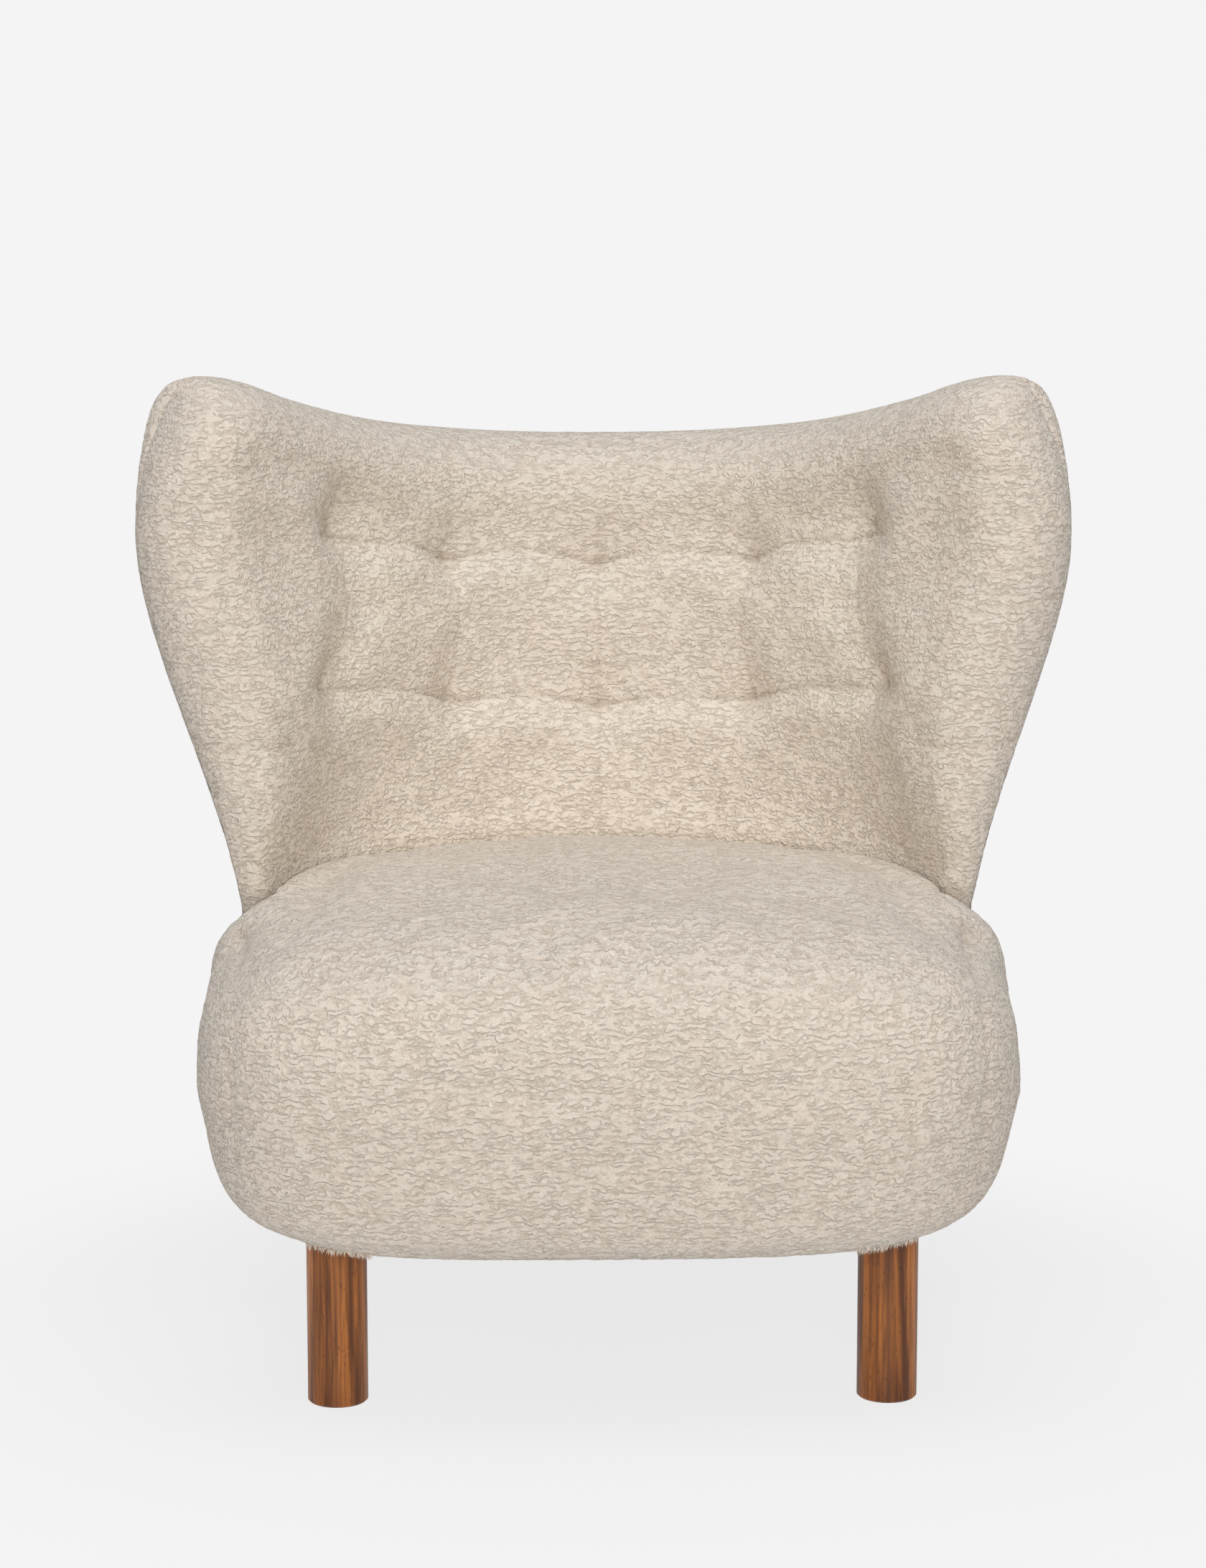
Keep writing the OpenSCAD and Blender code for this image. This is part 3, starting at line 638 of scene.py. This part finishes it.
def t_of(th, share, low):
    """Profile parameter for a share of the top (low 0) or of the side (low 1)."""
    pos = (th + np.pi) / (2 * np.pi) * (len(TH) - 1)
    i = np.clip(pos.astype(int), 0, len(TH) - 2)
    f = pos - i
    end, rim = mix(ARC_END[i], ARC_END[i + 1], f), mix(ARC_RIM[i], ARC_RIM[i + 1], f)
    want = rim + share * (end - rim) if low else share * rim
    out = np.empty(want.shape)
    for a in np.unique(i):
        here = i == a
        out[here] = mix(np.interp(want[here], ARC[a], T), np.interp(want[here], ARC[a + 1], T), f[here])
    return out


def seat_marks(p):
    """Seams and puckers of the seat cover: depth in millimetres and painted shade in them, from 0 to 1."""
    x, y, z = np.abs(p[..., 0] - LEAN), p[..., 1], p[..., 2]
    side = (x - 302 - 0.02 * (z - 300)) * 0.9
    here = ease((392 - z) / 14) * ease((z - 150) / 120) * ease((-150 - y) / 20)
    knot = np.where(y < -150, np.exp(-np.sqrt(side**2 + (z - 380) ** 2) / 9), 0)
    depth = here * (1.3 * bell(side, 3.4) + 2.4 * bell(side, 18)) + 4.5 * knot
    return depth, np.maximum(here * 0.22 * bell(side, 2.8), 0.6 * knot)


def seat_free(p, z_end):
    """1 where the seat is free to swell, 0 against the back and at its lower edge."""
    y, z = p[..., 1], p[..., 2]
    wall = wall_at(y, np.minimum(z, SEAT_H)) - np.abs(p[..., 0])
    near = mix(1, ease((wall - 4) / 40), ease((y - tip_front(z) + 110) / 60))
    return near * ease((y_inside(z) - y - 4) / 50) * ease((z - z_end) / 22)


def seat_faces(cells, rows):
    """Faces of the seat's outside: a square grid on top and rows of the side round it."""
    wide = 2 * cells + 1
    loop = loop_of(wide, wide)
    below = wide**2 + np.arange(len(loop))
    strip = [loop, below, np.roll(below, -1), np.roll(loop, -1)]
    return np.concatenate([grid_quads(wide, wide), np.stack(strip, -1),
                           grid_quads(rows, len(loop), wide**2, wrap=True, flip=True)])


def seat_start():
    g = np.linspace(-1, 1, 2 * SEAT_CELLS + 1)
    a, b = np.meshgrid(g, g, indexing="xy")
    rho, th = np.maximum(np.abs(a), np.abs(b)), np.arctan2(b, a)
    top = fit_wall(seat_raw(th, t_of(th, rho, 0)))
    n_top = normals(top)
    n_top = n_top if n_top[SEAT_CELLS, SEAT_CELLS, 2] > 0 else -n_top
    loop = loop_of(*th.shape)
    th_side = th.ravel()[loop]
    th_rows, share = np.broadcast_arrays(th_side, np.linspace(0, 1, SEAT_ROWS + 1)[:, None])
    side = fit_wall(seat_raw(th_rows, t_of(th_rows, share, 1)))
    n_side = normals(np.concatenate([side[:, -1:], side, side[:, :1]], 1))[:, 1:-1]
    half_way = SEAT_ROWS // 2
    if (n_side[half_way] * (side[half_way] - [0, SEAT_Y, MID])).sum() < 0:
        n_side = -n_side
    blend = n_top.reshape(-1, 3)[loop] + n_side[0]
    blend /= np.linalg.norm(blend, axis=-1, keepdims=True)
    n_side[0] = n_top.reshape(-1, 3)[loop] = blend
    free_top, free_side = seat_free(top, 0.0), seat_free(side, low_z(th_side))
    start_top = top - n_top * (4 * free_top)[..., None]
    start_side = side - n_side * (4 * free_side)[..., None]
    k = COARSE
    pins_side = 1 - free_side[k::k, ::k]
    pins_side[-1] = 1
    pins = np.concatenate([1 - free_top[::k, ::k].ravel(), pins_side.ravel()])
    points = np.concatenate([start_top[::k, ::k].reshape(-1, 3), start_side[k::k, ::k].reshape(-1, 3)])
    cover = points, seat_faces(SEAT_CELLS // k, SEAT_ROWS // k), pins, 8.0
    return cover, (loop, th_side, start_top, start_side, n_top, n_side, free_top, free_side)


def seat_dress(start, move, n, free):
    """The seat's outside with its swell, its stuffing and its seams."""
    p = start + move * free[..., None]
    quiet = ease((210 - p[..., 1]) / 60)
    return p + n * (free * (0.6 + broad(p) * 1.1) * quiet - seat_marks(p)[0])[..., None]


def seat_inside(th):
    """Rings of the seat's inside: the foam's underside and the space that the rails take."""
    c, s = np.cos(th), np.sin(th)
    rear = ease((s - 0.25) / 0.3)[:, None]

    def near_cloth(z, d):
        k = under(s, np.clip((MID - z) / (DOWN - d), 0, 0.99))
        p = seat_raw(th, np.full(th.shape, 2.0), d)
        x = (p[:, 0] - lean(s)) * k + lean(s)
        return fit_wall(np.stack([x, SEAT_Y + (p[:, 1] - SEAT_Y) * k, z], -1), d)

    def round_rails(z):
        r = np.minimum((RAIL_OUT + 0.5) / np.maximum(1e-3, np.abs(c)),
                       (SEAT_Y - RAIL_FRONT + 0.5) / np.maximum(1e-3, np.abs(s)))
        return np.stack([r * c, SEAT_Y + r * s, z], -1)

    low = np.maximum(low_z(th) + 4, RAIL_LOW + 2)
    rings = [near_cloth(low_z(th) + 1, 3.0), near_cloth(low, 4.0)]
    for z in (low, np.full(th.shape, FOAM_Z)):
        rings.append(mix(round_rails(z), near_cloth(z, 6.0), rear))
    return rings + [mix(rings[-1], np.array([0, SEAT_Y, FOAM_Z]), 0.5)]


def seat_form(moves, made):
    loop, th_side, start_top, start_side, n_top, n_side, free_top, free_side = made
    wide = 2 * SEAT_CELLS // COARSE + 1
    move_top, rest = moves[:wide**2], moves[wide**2:].reshape(SEAT_ROWS // COARSE, -1, 3)
    move_side = spread(np.concatenate([move_top[loop_of(wide, wide)][None], rest]), wrap=True)
    move_top = spread(move_top.reshape(wide, wide, 3))
    gap = move_top.reshape(-1, 3)[loop] - move_side[0]
    row = np.arange(SEAT_ROWS + 1)[:, None, None]
    move_side = move_side + gap * ease((14 - row) / 14)
    top = seat_dress(start_top, move_top, n_top, free_top)
    side = seat_dress(start_side, move_side, n_side, free_side)[1:]
    rings = seat_inside(th_side[::FACE_RATIO])
    points = [top.reshape(-1, 3), side.reshape(-1, 3)]
    o, m = sum(len(p) for p in points), len(rings[0])
    quads = [seat_faces(SEAT_CELLS, SEAT_ROWS), grid_quads(len(rings), m, o, wrap=True, flip=True)]
    lowest = o - len(loop) + np.arange(len(loop))
    tris = [t[::-1] for t in stitch(lowest, o + np.arange(m))]
    end, centre = o + (len(rings) - 1) * m, o + len(rings) * m
    tris += [(end + j, centre, end + (j + 1) % m) for j in range(m)]
    points += rings + [np.array([[0, SEAT_Y, FOAM_Z]])]
    n_side = n_side * unit((SEAT_ROWS - row) / 3)
    out = np.concatenate([n_top.reshape(-1, 3), n_side[1:].reshape(-1, 3)])
    # painted shade in the seat's seams and puckers
    painted_shade = np.concatenate([seat_marks(p)[1].ravel() for p in (top, side)])
    return build("seat_upholstery", np.concatenate(points), quads, tris, out, painted_shade)


LEGS_X = (-224.0, 221.0)  # middles of the tufts over the front legs


def edge_pile():
    """Longer tufts of the pile on the seat's lower edge, over the tops of the front legs."""
    rng = np.random.default_rng(5)
    th = np.radians(np.linspace(-172, -8, 400))
    points, tris = [], []
    for leg in LEGS_X:
        for h in np.linspace(0.9, 0.972, 9):
            row = seat_raw(th, np.full(th.shape, 3 - (1 - h) ** (1 / 3)))
            for x in leg + rng.uniform(-27, 27, 24):
                root = np.array([np.interp(x, row[:, 0], row[:, k]) for k in range(3)])
                way = np.array([rng.normal(0, 0.35), rng.normal(-0.1, 0.2), -1.0])
                way /= np.linalg.norm(way)
                side = np.cross(way, [0, 1, 0])
                side /= np.linalg.norm(side)
                wide = rng.uniform(0.7, 1.3)
                ring = [root - way * 1.5 + wide * (math.cos(q) * side + math.sin(q) * np.cross(way, side))
                        for q in (0, 2.1, 4.2)]
                o = len(points)
                points += ring + [root + way * rng.uniform(2.0, 5.0)]
                tris += [(o, o + 1, o + 3), (o + 1, o + 2, o + 3), (o + 2, o, o + 3), (o + 2, o + 1, o)]
    # the tufts carry a little painted shade
    return build("leg_edge_pile", np.array(points), [], tris, painted_shade=np.full(len(points), 0.1))


# Materials
def colour(*screen):
    """A colour written in 0-255 screen values."""
    v = np.array(screen) / 255
    return (*np.where(v <= 0.04045, v / 12.92, ((v + 0.055) / 1.055) ** 2.4).tolist(), 1)


class Tree:
    """Helper for building a node tree."""

    def __init__(self, tree):
        self.tree = tree
        self.tree.nodes.clear()

    def link(self, a, b):
        self.tree.links.new(a, b)

    def set(self, socket, value):
        if isinstance(value, bpy.types.NodeSocket):
            self.link(value, socket)
        else:
            socket.default_value = value

    def node(self, kind, options=(), **inputs):
        n = self.tree.nodes.new(kind)
        for key, value in dict(options).items():
            setattr(n, key, value)
        self.give(n, inputs)
        return n

    def give(self, n, inputs):
        for key, value in inputs.items():
            self.set(n.inputs[key.replace("_", " ")], value)

    def operation(self, kind, op, *inputs):
        n = self.node(kind, {"operation": op})
        for socket, value in zip(n.inputs, inputs):
            self.set(socket, value)
        return n

    def math(self, op, *inputs):
        return self.operation("ShaderNodeMath", op, *inputs).outputs[0]

    def times(self, a, b):
        return self.math("MULTIPLY", a, b)

    def vector(self, op, *inputs):
        return self.operation("ShaderNodeVectorMath", op, *inputs).outputs[0]

    def scaled(self, vector, scale):
        return self.vector("MULTIPLY", vector, scale)

    def axis(self, vector, number):
        return self.node("ShaderNodeSeparateXYZ", Vector=vector).outputs[number]

    def warped(self, vector, scale, amount):
        """The place swayed by noise of the given scale."""
        noise = self.node("ShaderNodeTexNoise", Vector=vector, Scale=scale, Detail=1.0)
        sway = self.vector("SUBTRACT", noise.outputs["Color"], (0.5,) * 3)
        return self.vector("MULTIPLY_ADD", sway, (amount,) * 3, vector)

    def noise(self, vector, scale, detail=2.0, rough=0.5):
        return self.node("ShaderNodeTexNoise", Vector=vector, Scale=scale, Detail=detail,
                         Roughness=rough).outputs[0]

    def voronoi(self, vector, scale, feature="F1", **inputs):
        return self.node("ShaderNodeTexVoronoi", {"feature": feature}, Vector=vector, Scale=scale,
                         **inputs).outputs["Distance"]

    def ramp(self, value, low, high, out_low=0.0, out_high=1.0):
        """Smooth step from out_low to out_high while the value goes from low to high."""
        return self.node("ShaderNodeMapRange", {"interpolation_type": "SMOOTHSTEP"}, Value=value,
                         From_Min=low, From_Max=high, To_Min=out_low, To_Max=out_high).outputs["Result"]

    def mixed(self, factor, a, b):
        n = self.node("ShaderNodeMix", {"data_type": "RGBA"})
        for number, value in ((0, factor), (6, a), (7, b)):
            self.set(n.inputs[number], value)
        return n.outputs[2]

    def mixed_shader(self, factor, a, b):
        n = self.node("ShaderNodeMixShader", Fac=factor)
        self.link(a.outputs[0], n.inputs[1])
        self.link(b.outputs[0], n.inputs[2])
        return n.outputs[0]

    def coloured(self, first, *layers):
        """A screen colour with layers over it, each given as its factor and its screen colour."""
        base = colour(*first)
        for factor, tint in layers:
            base = self.mixed(factor, base, colour(*tint))
        return base

    def bump(self, height, distance, strength=1.0):
        return self.node("ShaderNodeBump", Strength=strength, Distance=distance, Height=height).outputs[0]

    def seen(self):
        """1 for rays that show a thing to the camera, 0 for those that only light."""
        rays = self.node("ShaderNodeLightPath").outputs
        seen = self.math("MAXIMUM", rays["Is Camera Ray"], rays["Is Glossy Ray"])
        return self.math("MAXIMUM", seen, rays["Is Transmission Ray"])


class Nodes(Tree):
    """A material's node tree round one shader."""

    def __init__(self, name):
        self.mat = bpy.data.materials.new(name)
        self.mat.use_nodes = True
        super().__init__(self.mat.node_tree)
        self.out = self.node("ShaderNodeOutputMaterial")
        self.bsdf = self.node("ShaderNodeBsdfPrincipled")
        self.link(self.bsdf.outputs[0], self.out.inputs[0])
        self.place = self.node("ShaderNodeTexCoord").outputs["Object"]

    def finish(self, base, rough, normal=None, **sockets):
        sockets.update(Base_Color=base, Roughness=rough)
        if normal is not None:
            sockets["Normal"] = normal
        self.give(self.bsdf, sockets)
        return self.mat


def furrows(t, place):
    """Swayed place and level furrows of the cloth, the same in the mesh and in its shader."""
    warp = t.warped(t.warped(place, 60.0, 0.009), 230.0, 0.0024)
    return warp, t.ramp(t.noise(t.scaled(warp, (0.36, 0.46, 1.0)), 185.0, 1.0), 0.3, 0.47, 1.0, 0.0)


def level_lines(n, along, pitch, stretch):
    """Fine level creases of the pile, swaying, across the direction along (1 is Y, 2 is Z)."""
    turns = n.times(n.axis(n.place, along), 2 * math.pi / pitch)
    sway = n.noise(n.scaled(n.place, stretch), 95.0, 2.0, 0.6)
    return n.ramp(n.math("SINE", n.math("MULTIPLY_ADD", sway, 20.0, turns)), 0.52, 1.0)


def pile_group():
    """Geometry nodes that move the cloth's surface out along its own way by the relief."""
    group = bpy.data.node_groups.new("pile", "GeometryNodeTree")
    for way in ("INPUT", "OUTPUT"):
        group.interface.new_socket("Geometry", in_out=way, socket_type="NodeSocketGeometry")
    t = Tree(group)
    start, place = t.node("NodeGroupInput"), t.node("GeometryNodeInputPosition").outputs[0]
    named = t.node("GeometryNodeInputNamedAttribute", {"data_type": "FLOAT_VECTOR"}, Name="out")
    curls = t.math("SUBTRACT", t.noise(place, 150.0, 1.0), 0.5)
    height = t.math("MULTIPLY_ADD", furrows(t, place)[1], -0.0007, 0.0002)
    height = t.math("MULTIPLY_ADD", curls, 0.0014, height)
    moved = t.node("GeometryNodeSetPosition", Geometry=start.outputs[0],
                   Offset=t.scaled(named.outputs[0], height))
    t.link(moved.outputs[0], t.node("NodeGroupOutput").inputs[0])
    return group


def raise_pile(obj):
    """Puts the pile's relief into the mesh for good."""
    obj.modifiers.new("pile", "NODES").node_group = PILE
    made = bpy.data.meshes.new_from_object(obj.evaluated_get(bpy.context.evaluated_depsgraph_get()))
    obj.modifiers.clear()
    old, obj.data = obj.data, made
    bpy.data.meshes.remove(old)
    made.name = obj.name


def woolly_cloth():
    """Cream looped wool, with painted shade in the creases between its curls and in folds, painted highlights
    on fibre tips that face up, and painted light where it is made paler.
    """
    n = Nodes("wool_cloth")
    painted_shade, painted_light, out = (n.node("ShaderNodeAttribute", {"attribute_name": key}).outputs
                       for key in ("painted_shade", "painted_light", "out"))
    warp, furrow = furrows(n, n.place)
    lying = n.ramp(n.math("ABSOLUTE", n.axis(out["Vector"], 2)), 0.6, 0.85)
    # creases
    upright = level_lines(n, 2, 0.0052, (0.8, 0.8, 1.0))
    flat = level_lines(n, 1, 0.013, (0.8, 0.4, 1.0))
    lines = n.math("MULTIPLY_ADD", n.math("SUBTRACT", flat, upright), lying, upright)
    gate = n.ramp(n.noise(n.scaled(n.place, (0.6, 0.65, 1.0)), 180.0, 1.0), 0.39, 0.56)
    cells = n.voronoi(n.scaled(warp, (0.64, 0.72, 1.0)), 205.0, "DISTANCE_TO_EDGE")
    where = n.ramp(n.noise(n.scaled(n.place, (0.6, 0.7, 1.0)), 170.0, 1.0), 0.36, 0.62, 0.2, 1.0)
    crease = n.times(n.ramp(cells, 0.0, 0.22, 1.0, 0.0), n.times(where, 0.75))
    crease = n.math("MAXIMUM", n.times(lines, gate), crease)
    # colour
    curls = n.voronoi(n.scaled(n.warped(n.place, 300.0, 0.004), (0.9, 0.9, 1.0)), 360.0, "SMOOTH_F1",
                      Smoothness=0.5)
    fibres = n.noise(n.warped(n.place, 420.0, 0.0016), 900.0, 3.0, 0.65)
    painted_glints = n.ramp(n.noise(n.scaled(n.place, (1.0, 0.35, 1.0)), 520.0, 1.0), 0.58, 0.7)
    base = n.coloured(
        (233, 218, 203), (n.ramp(n.noise(n.place, 42.0), 0.35, 0.65), (231, 219, 204)),
        (n.ramp(fibres, 0.36, 0.5, 0.28, 0.0), (200, 188, 168)),
        (n.ramp(fibres, 0.55, 0.68, 0.0, 0.6), (253, 246, 235)),
        # painted highlights: pale glints on fibre tips, only where the cloth faces up
        (n.times(painted_glints, n.times(lying, 0.5)), (255, 252, 246)),
        # painted light: paler where the cloth's painted-light value is set
        (n.times(painted_light["Fac"], 0.5), (252, 240, 223)),
        # painted shade: darker in the furrows and creases between the curls, and in tufts, seams and folds
        (n.times(furrow, 0.1), (176, 158, 136)),
        (n.times(crease, 0.38), (180, 158, 131)),
        (n.ramp(painted_shade["Fac"], 0.0, 1.0, 0.0, 0.72), (152, 128, 100)))
    # relief
    height = n.times(curls, -0.65)
    for part, amount in ((crease, -0.9), (furrow, -0.2), (fibres, 0.22)):
        height = n.math("MULTIPLY_ADD", part, amount, height)
    return n.finish(base, 0.93, n.bump(height, 0.0013), Sheen_Weight=0.25, Sheen_Roughness=0.5,
                    Specular_IOR_Level=0.15)


def walnut():
    """Oiled walnut with upright bands, fine streaks and patches of open pores."""
    n = Nodes("walnut")
    along = n.warped(n.scaled(n.place, (1.0, 1.0, 0.16)), 14.0, 0.03)
    bands = n.noise(n.scaled(along, (1.0, 1.0, 0.3)), 84.0, 3.0)
    streaks = n.noise(n.scaled(n.place, (1.0, 1.0, 0.035)), 420.0, 4.0, 0.65)
    pores = n.ramp(n.voronoi(n.scaled(n.place, (1.0, 1.0, 0.2)), 480.0), 0.16, 0.3, 1.0, 0.0)
    pores = n.times(pores, n.ramp(n.noise(n.place, 300.0), 0.45, 0.6))
    base = n.coloured(
        (90, 47, 18), (n.ramp(bands, 0.36, 0.64), (188, 114, 52)),
        (n.ramp(streaks, 0.4, 0.56, 0.42, 0.0), (84, 45, 17)),
        (n.ramp(streaks, 0.56, 0.68, 0.0, 0.22), (206, 132, 66)),
        (n.times(pores, 0.7), (62, 34, 17)))
    height = n.math("MULTIPLY_ADD", pores, -0.6, streaks)
    rough = n.ramp(streaks, 0.3, 0.7, 0.5, 0.38)
    return n.finish(base, rough, n.bump(height, 0.0003, 0.5), Specular_IOR_Level=0.4)


def beech():
    n = Nodes("beech")
    grain = n.noise(n.scaled(n.place, (0.3, 0.3, 1.0)), 60.0, 4.0, 0.6)
    base = n.coloured((196, 158, 112), (n.ramp(grain, 0.35, 0.65), (222, 190, 148)))
    return n.finish(base, n.ramp(grain, 0.3, 0.7, 0.62, 0.5), n.bump(grain, 0.0004, 0.5))


def plywood():
    n = Nodes("plywood")
    wave = n.node("ShaderNodeTexWave", {"bands_direction": "Z"}, Vector=n.place, Scale=105.0, Distortion=0.4)
    grain = n.noise(n.scaled(n.place, (0.12, 1.0, 1.0)), 260.0, 3.0)
    base = n.coloured((176, 143, 98), (n.ramp(wave.outputs["Fac"], 0.4, 0.6), (212, 184, 140)),
                      (n.ramp(grain, 0.4, 0.6, 0.3, 0.0), (150, 116, 76)))
    return n.finish(base, 0.6, n.bump(grain, 0.0003, 0.4))


def foam():
    n = Nodes("padding")
    cells = n.voronoi(n.place, 620.0)
    base = n.coloured((238, 226, 180), (n.ramp(cells, 0.2, 0.7), (214, 199, 150)))
    return n.finish(base, 0.95, n.bump(cells, 0.0006, 0.6))


def woven(name, light, dark, pitch):
    """Plain weave with a little fuzz."""
    n = Nodes(name)
    turns = [n.times(n.axis(n.place, axis), 2 * math.pi / pitch) for axis in (0, 1)]
    weave = n.times(*(n.math("SINE", turn) for turn in turns))
    fuzz = n.noise(n.place, 700.0)
    base = n.coloured(dark, (n.ramp(weave, -0.6, 0.6), light), (n.ramp(fuzz, 0.4, 0.65, 0.0, 0.35), light))
    return n.finish(base, 0.9, n.bump(n.math("MULTIPLY_ADD", fuzz, 0.5, weave), 0.0004, 0.6))


def steel():
    n = Nodes("steel")
    brush = n.noise(n.scaled(n.place, (1.0, 1.0, 0.08)), 500.0)
    base = n.coloured((150, 152, 156), (n.ramp(brush, 0.35, 0.65), (186, 188, 192)))
    return n.finish(base, n.ramp(brush, 0.3, 0.7, 0.3, 0.42), n.bump(brush, 0.0001, 0.4), Metallic=1.0)


MATS = {"wool_cloth": woolly_cloth(), "walnut": walnut(), "plywood": plywood(), "padding": foam(),
        "beech": beech(), "bottom_cloth": woven("bottom_cloth", (64, 63, 62), (34, 33, 33), 0.0032),
        "lining_cloth": woven("lining_cloth", (190, 168, 130), (148, 124, 86), 0.0044), "steel": steel()}
PILE = pile_group()

# How the names of the frame's nodes begin, and their material
SLOTS = ((("leg_bolt", "leg_nut", "spring"), "steel"), ("leg_", "walnut"), ("seat_lining", "lining_cloth"),
         ("dust_cover", "bottom_cloth"), (("seat_rail", "corner_block", "bearer", "stile"), "beech"),
         (("back_base", "former", "wing_panel"), "plywood"),
         (("seat_foam", "seat_border", "back_padding"), "padding"),
         (("seat_cover", "inner_back", "outer_back"), "wool_cloth"))
for node_name, node_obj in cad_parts.items():
    node_slot = next(slot for starts, slot in SLOTS if node_name.startswith(starts))
    node_obj.data.materials.clear()
    node_obj.data.materials.append(MATS[node_slot])
    node_obj.data.polygons.foreach_set("material_index", [0] * len(node_obj.data.polygons))


# Pieces
def add_piece(obj, slot, *replaced):
    obj.data.materials.append(MATS[slot])
    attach(obj, "root")
    if replaced:
        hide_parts(*replaced)
    return obj


def bottom_sheet():
    """Woven cloth stapled under the seat, with a turned hem and a slight sag, and its outline."""
    th = np.radians(np.linspace(145, 395, 101))
    s = np.sin(th)
    front = np.stack(seat_plan(np.cos(th), s, 3.8), -1) * np.minimum(1, 0.985 * under(s, 0.985))[:, None]
    u = np.linspace(0.62, -0.62, 91)
    rear = shell(u, np.full(u.shape, 138.0), -1, 4.0)
    edge = np.concatenate([front + [0, SEAT_Y], rear[:, :2]])
    centre = np.array([0.0, -40.0])
    rows = np.concatenate([np.linspace(1, 0.94, 4), np.linspace(0.92, 0.06, 22)])
    plan = centre + (edge - centre)[None] * rows[:, None, None]
    hem = 0.5 * ease((rows - 0.925) / 0.02)
    sag = -1.6 * ease((0.9 - rows) / 0.7)
    level = np.zeros(plan.shape[:2] + (1,))
    z = 138.6 + sag[:, None] + 0.25 * smooth_noise(np.concatenate([plan, level], -1), (60, 60, 60), 41)
    low, high = (np.concatenate([plan, side[..., None]], -1) for side in (z - hem[:, None], z + 0.8))
    points = np.concatenate([low[::-1], high]).reshape(-1, 3)
    middles = [[*centre, z[-1].mean() + thick] for thick in (0, 0.8)]
    m, o = len(edge), len(points)
    tris = [((j + 1) % m, j, o) for j in range(m)]
    tris += [(o - m + j, o - m + (j + 1) % m, o + 1) for j in range(m)]
    quads = [grid_quads(o // m, m, wrap=True)]
    return build("bottom_cloth", np.concatenate([points, middles]), quads, tris), edge


starts = [seat_start(), inner_start(), outer_start()]
blown = blow_up([cover for cover, _ in starts])
made_seat, made_inner, made_outer = (made for _, made in starts)
seat = add_piece(seat_form(blown[0], made_seat), "wool_cloth", "seat_cover", "seat_foam", "seat_border")
inner_back = back_inner(blown[1], made_inner)
add_piece(inner_back, "wool_cloth", "inner_back_cover", "back_padding_inner")
outer_back = back_outer(blown[2], made_outer)
add_piece(outer_back, "wool_cloth", "outer_back_cover", "back_padding_outer")
for cloth in (seat, inner_back, outer_back):
    raise_pile(cloth)
add_piece(edge_pile(), "wool_cloth")
bottom, bottom_edge = bottom_sheet()
add_piece(bottom, "bottom_cloth", "dust_cover")

# Floor, light and camera
BACK = colour(244, 244, 244)
FLOOR_GLOW = 0.87  # share of the backdrop's colour in the floor under the chair


def ground():
    """Round pale floor that takes the shadow and fades into the backdrop."""
    rings, spokes = [0.4, 0.8, 1.4, 2.5, 5.0, 12.0, 40.0], 64
    turns = [2 * math.pi * k / spokes for k in range(spokes)]
    points = [(0, 0, 0)] + [(r * math.cos(a), r * math.sin(a), 0) for r in rings for a in turns]
    faces = [(0, 1 + k, 1 + (k + 1) % spokes) for k in range(spokes)]
    faces += grid_quads(len(rings), spokes, 1, wrap=True, flip=True).tolist()
    mesh = bpy.data.meshes.new("floor")
    mesh.from_pydata(points, [], faces)
    n = Nodes("floor")
    n.finish((0.9, 0.9, 0.9, 1), 1.0, Specular_IOR_Level=0.0)
    glow = n.node("ShaderNodeEmission", Color=BACK, Strength=1.0)
    away = n.operation("ShaderNodeVectorMath", "LENGTH", n.place).outputs["Value"]
    share = n.times(n.ramp(away, 0.4, 0.8, FLOOR_GLOW, 1.0), n.seen())
    n.link(n.mixed_shader(share, n.bsdf, glow), n.out.inputs[0])
    mesh.materials.append(n.mat)
    obj = put("floor", mesh)


def studio():
    """Weak even light from all sides, and the backdrop that the camera sees."""
    world = bpy.data.worlds.new("studio")
    bpy.context.scene.world = world
    world.use_nodes = True
    t = Tree(world.node_tree)
    fill = t.node("ShaderNodeBackground", Color=(1, 1, 1, 1), Strength=0.28)
    back = t.node("ShaderNodeBackground", Color=BACK, Strength=1.0)
    t.node("ShaderNodeOutputWorld", Surface=t.mixed_shader(t.seen(), fill, back))


def lamp(name, place, aim, power, tint=(1, 1, 1)):
    """Soft lamp of 2.6 by 2.2 m that points at aim."""
    light = bpy.data.lights.new(name, "AREA")
    light.shape = "RECTANGLE"
    light.size, light.size_y = 2.6, 2.2
    light.energy = power
    light.color = tint
    obj = put(name, light)
    obj.location = place
    obj.rotation_mode = "QUATERNION"
    obj.rotation_quaternion = (Vector(aim) - Vector(place)).to_track_quat("-Z", "Y")


ground()
studio()
lamp("front_lamp", (0.0, -5.5, 1.7), (0, 0, 0.45), 130)
lamp("top_lamp", (0.0, -0.9, 4.2), (0, 0, 0.4), 70, (0.93, 0.965, 1.0))

cam = put("camera", bpy.data.cameras.new("camera"))
bpy.context.scene.camera = cam
cam.data.lens, cam.data.sensor_width = 85.68, 36
cam.data.clip_start, cam.data.clip_end = 0.05, 200
cam.location = (-0.0920, -3.2175, 0.975)
cam.rotation_euler = (math.radians(90 - 8.6816), 0, math.radians(-1.6))
bpy.context.scene.view_settings.view_transform = "Standard"

bpy.context.view_layer.update()
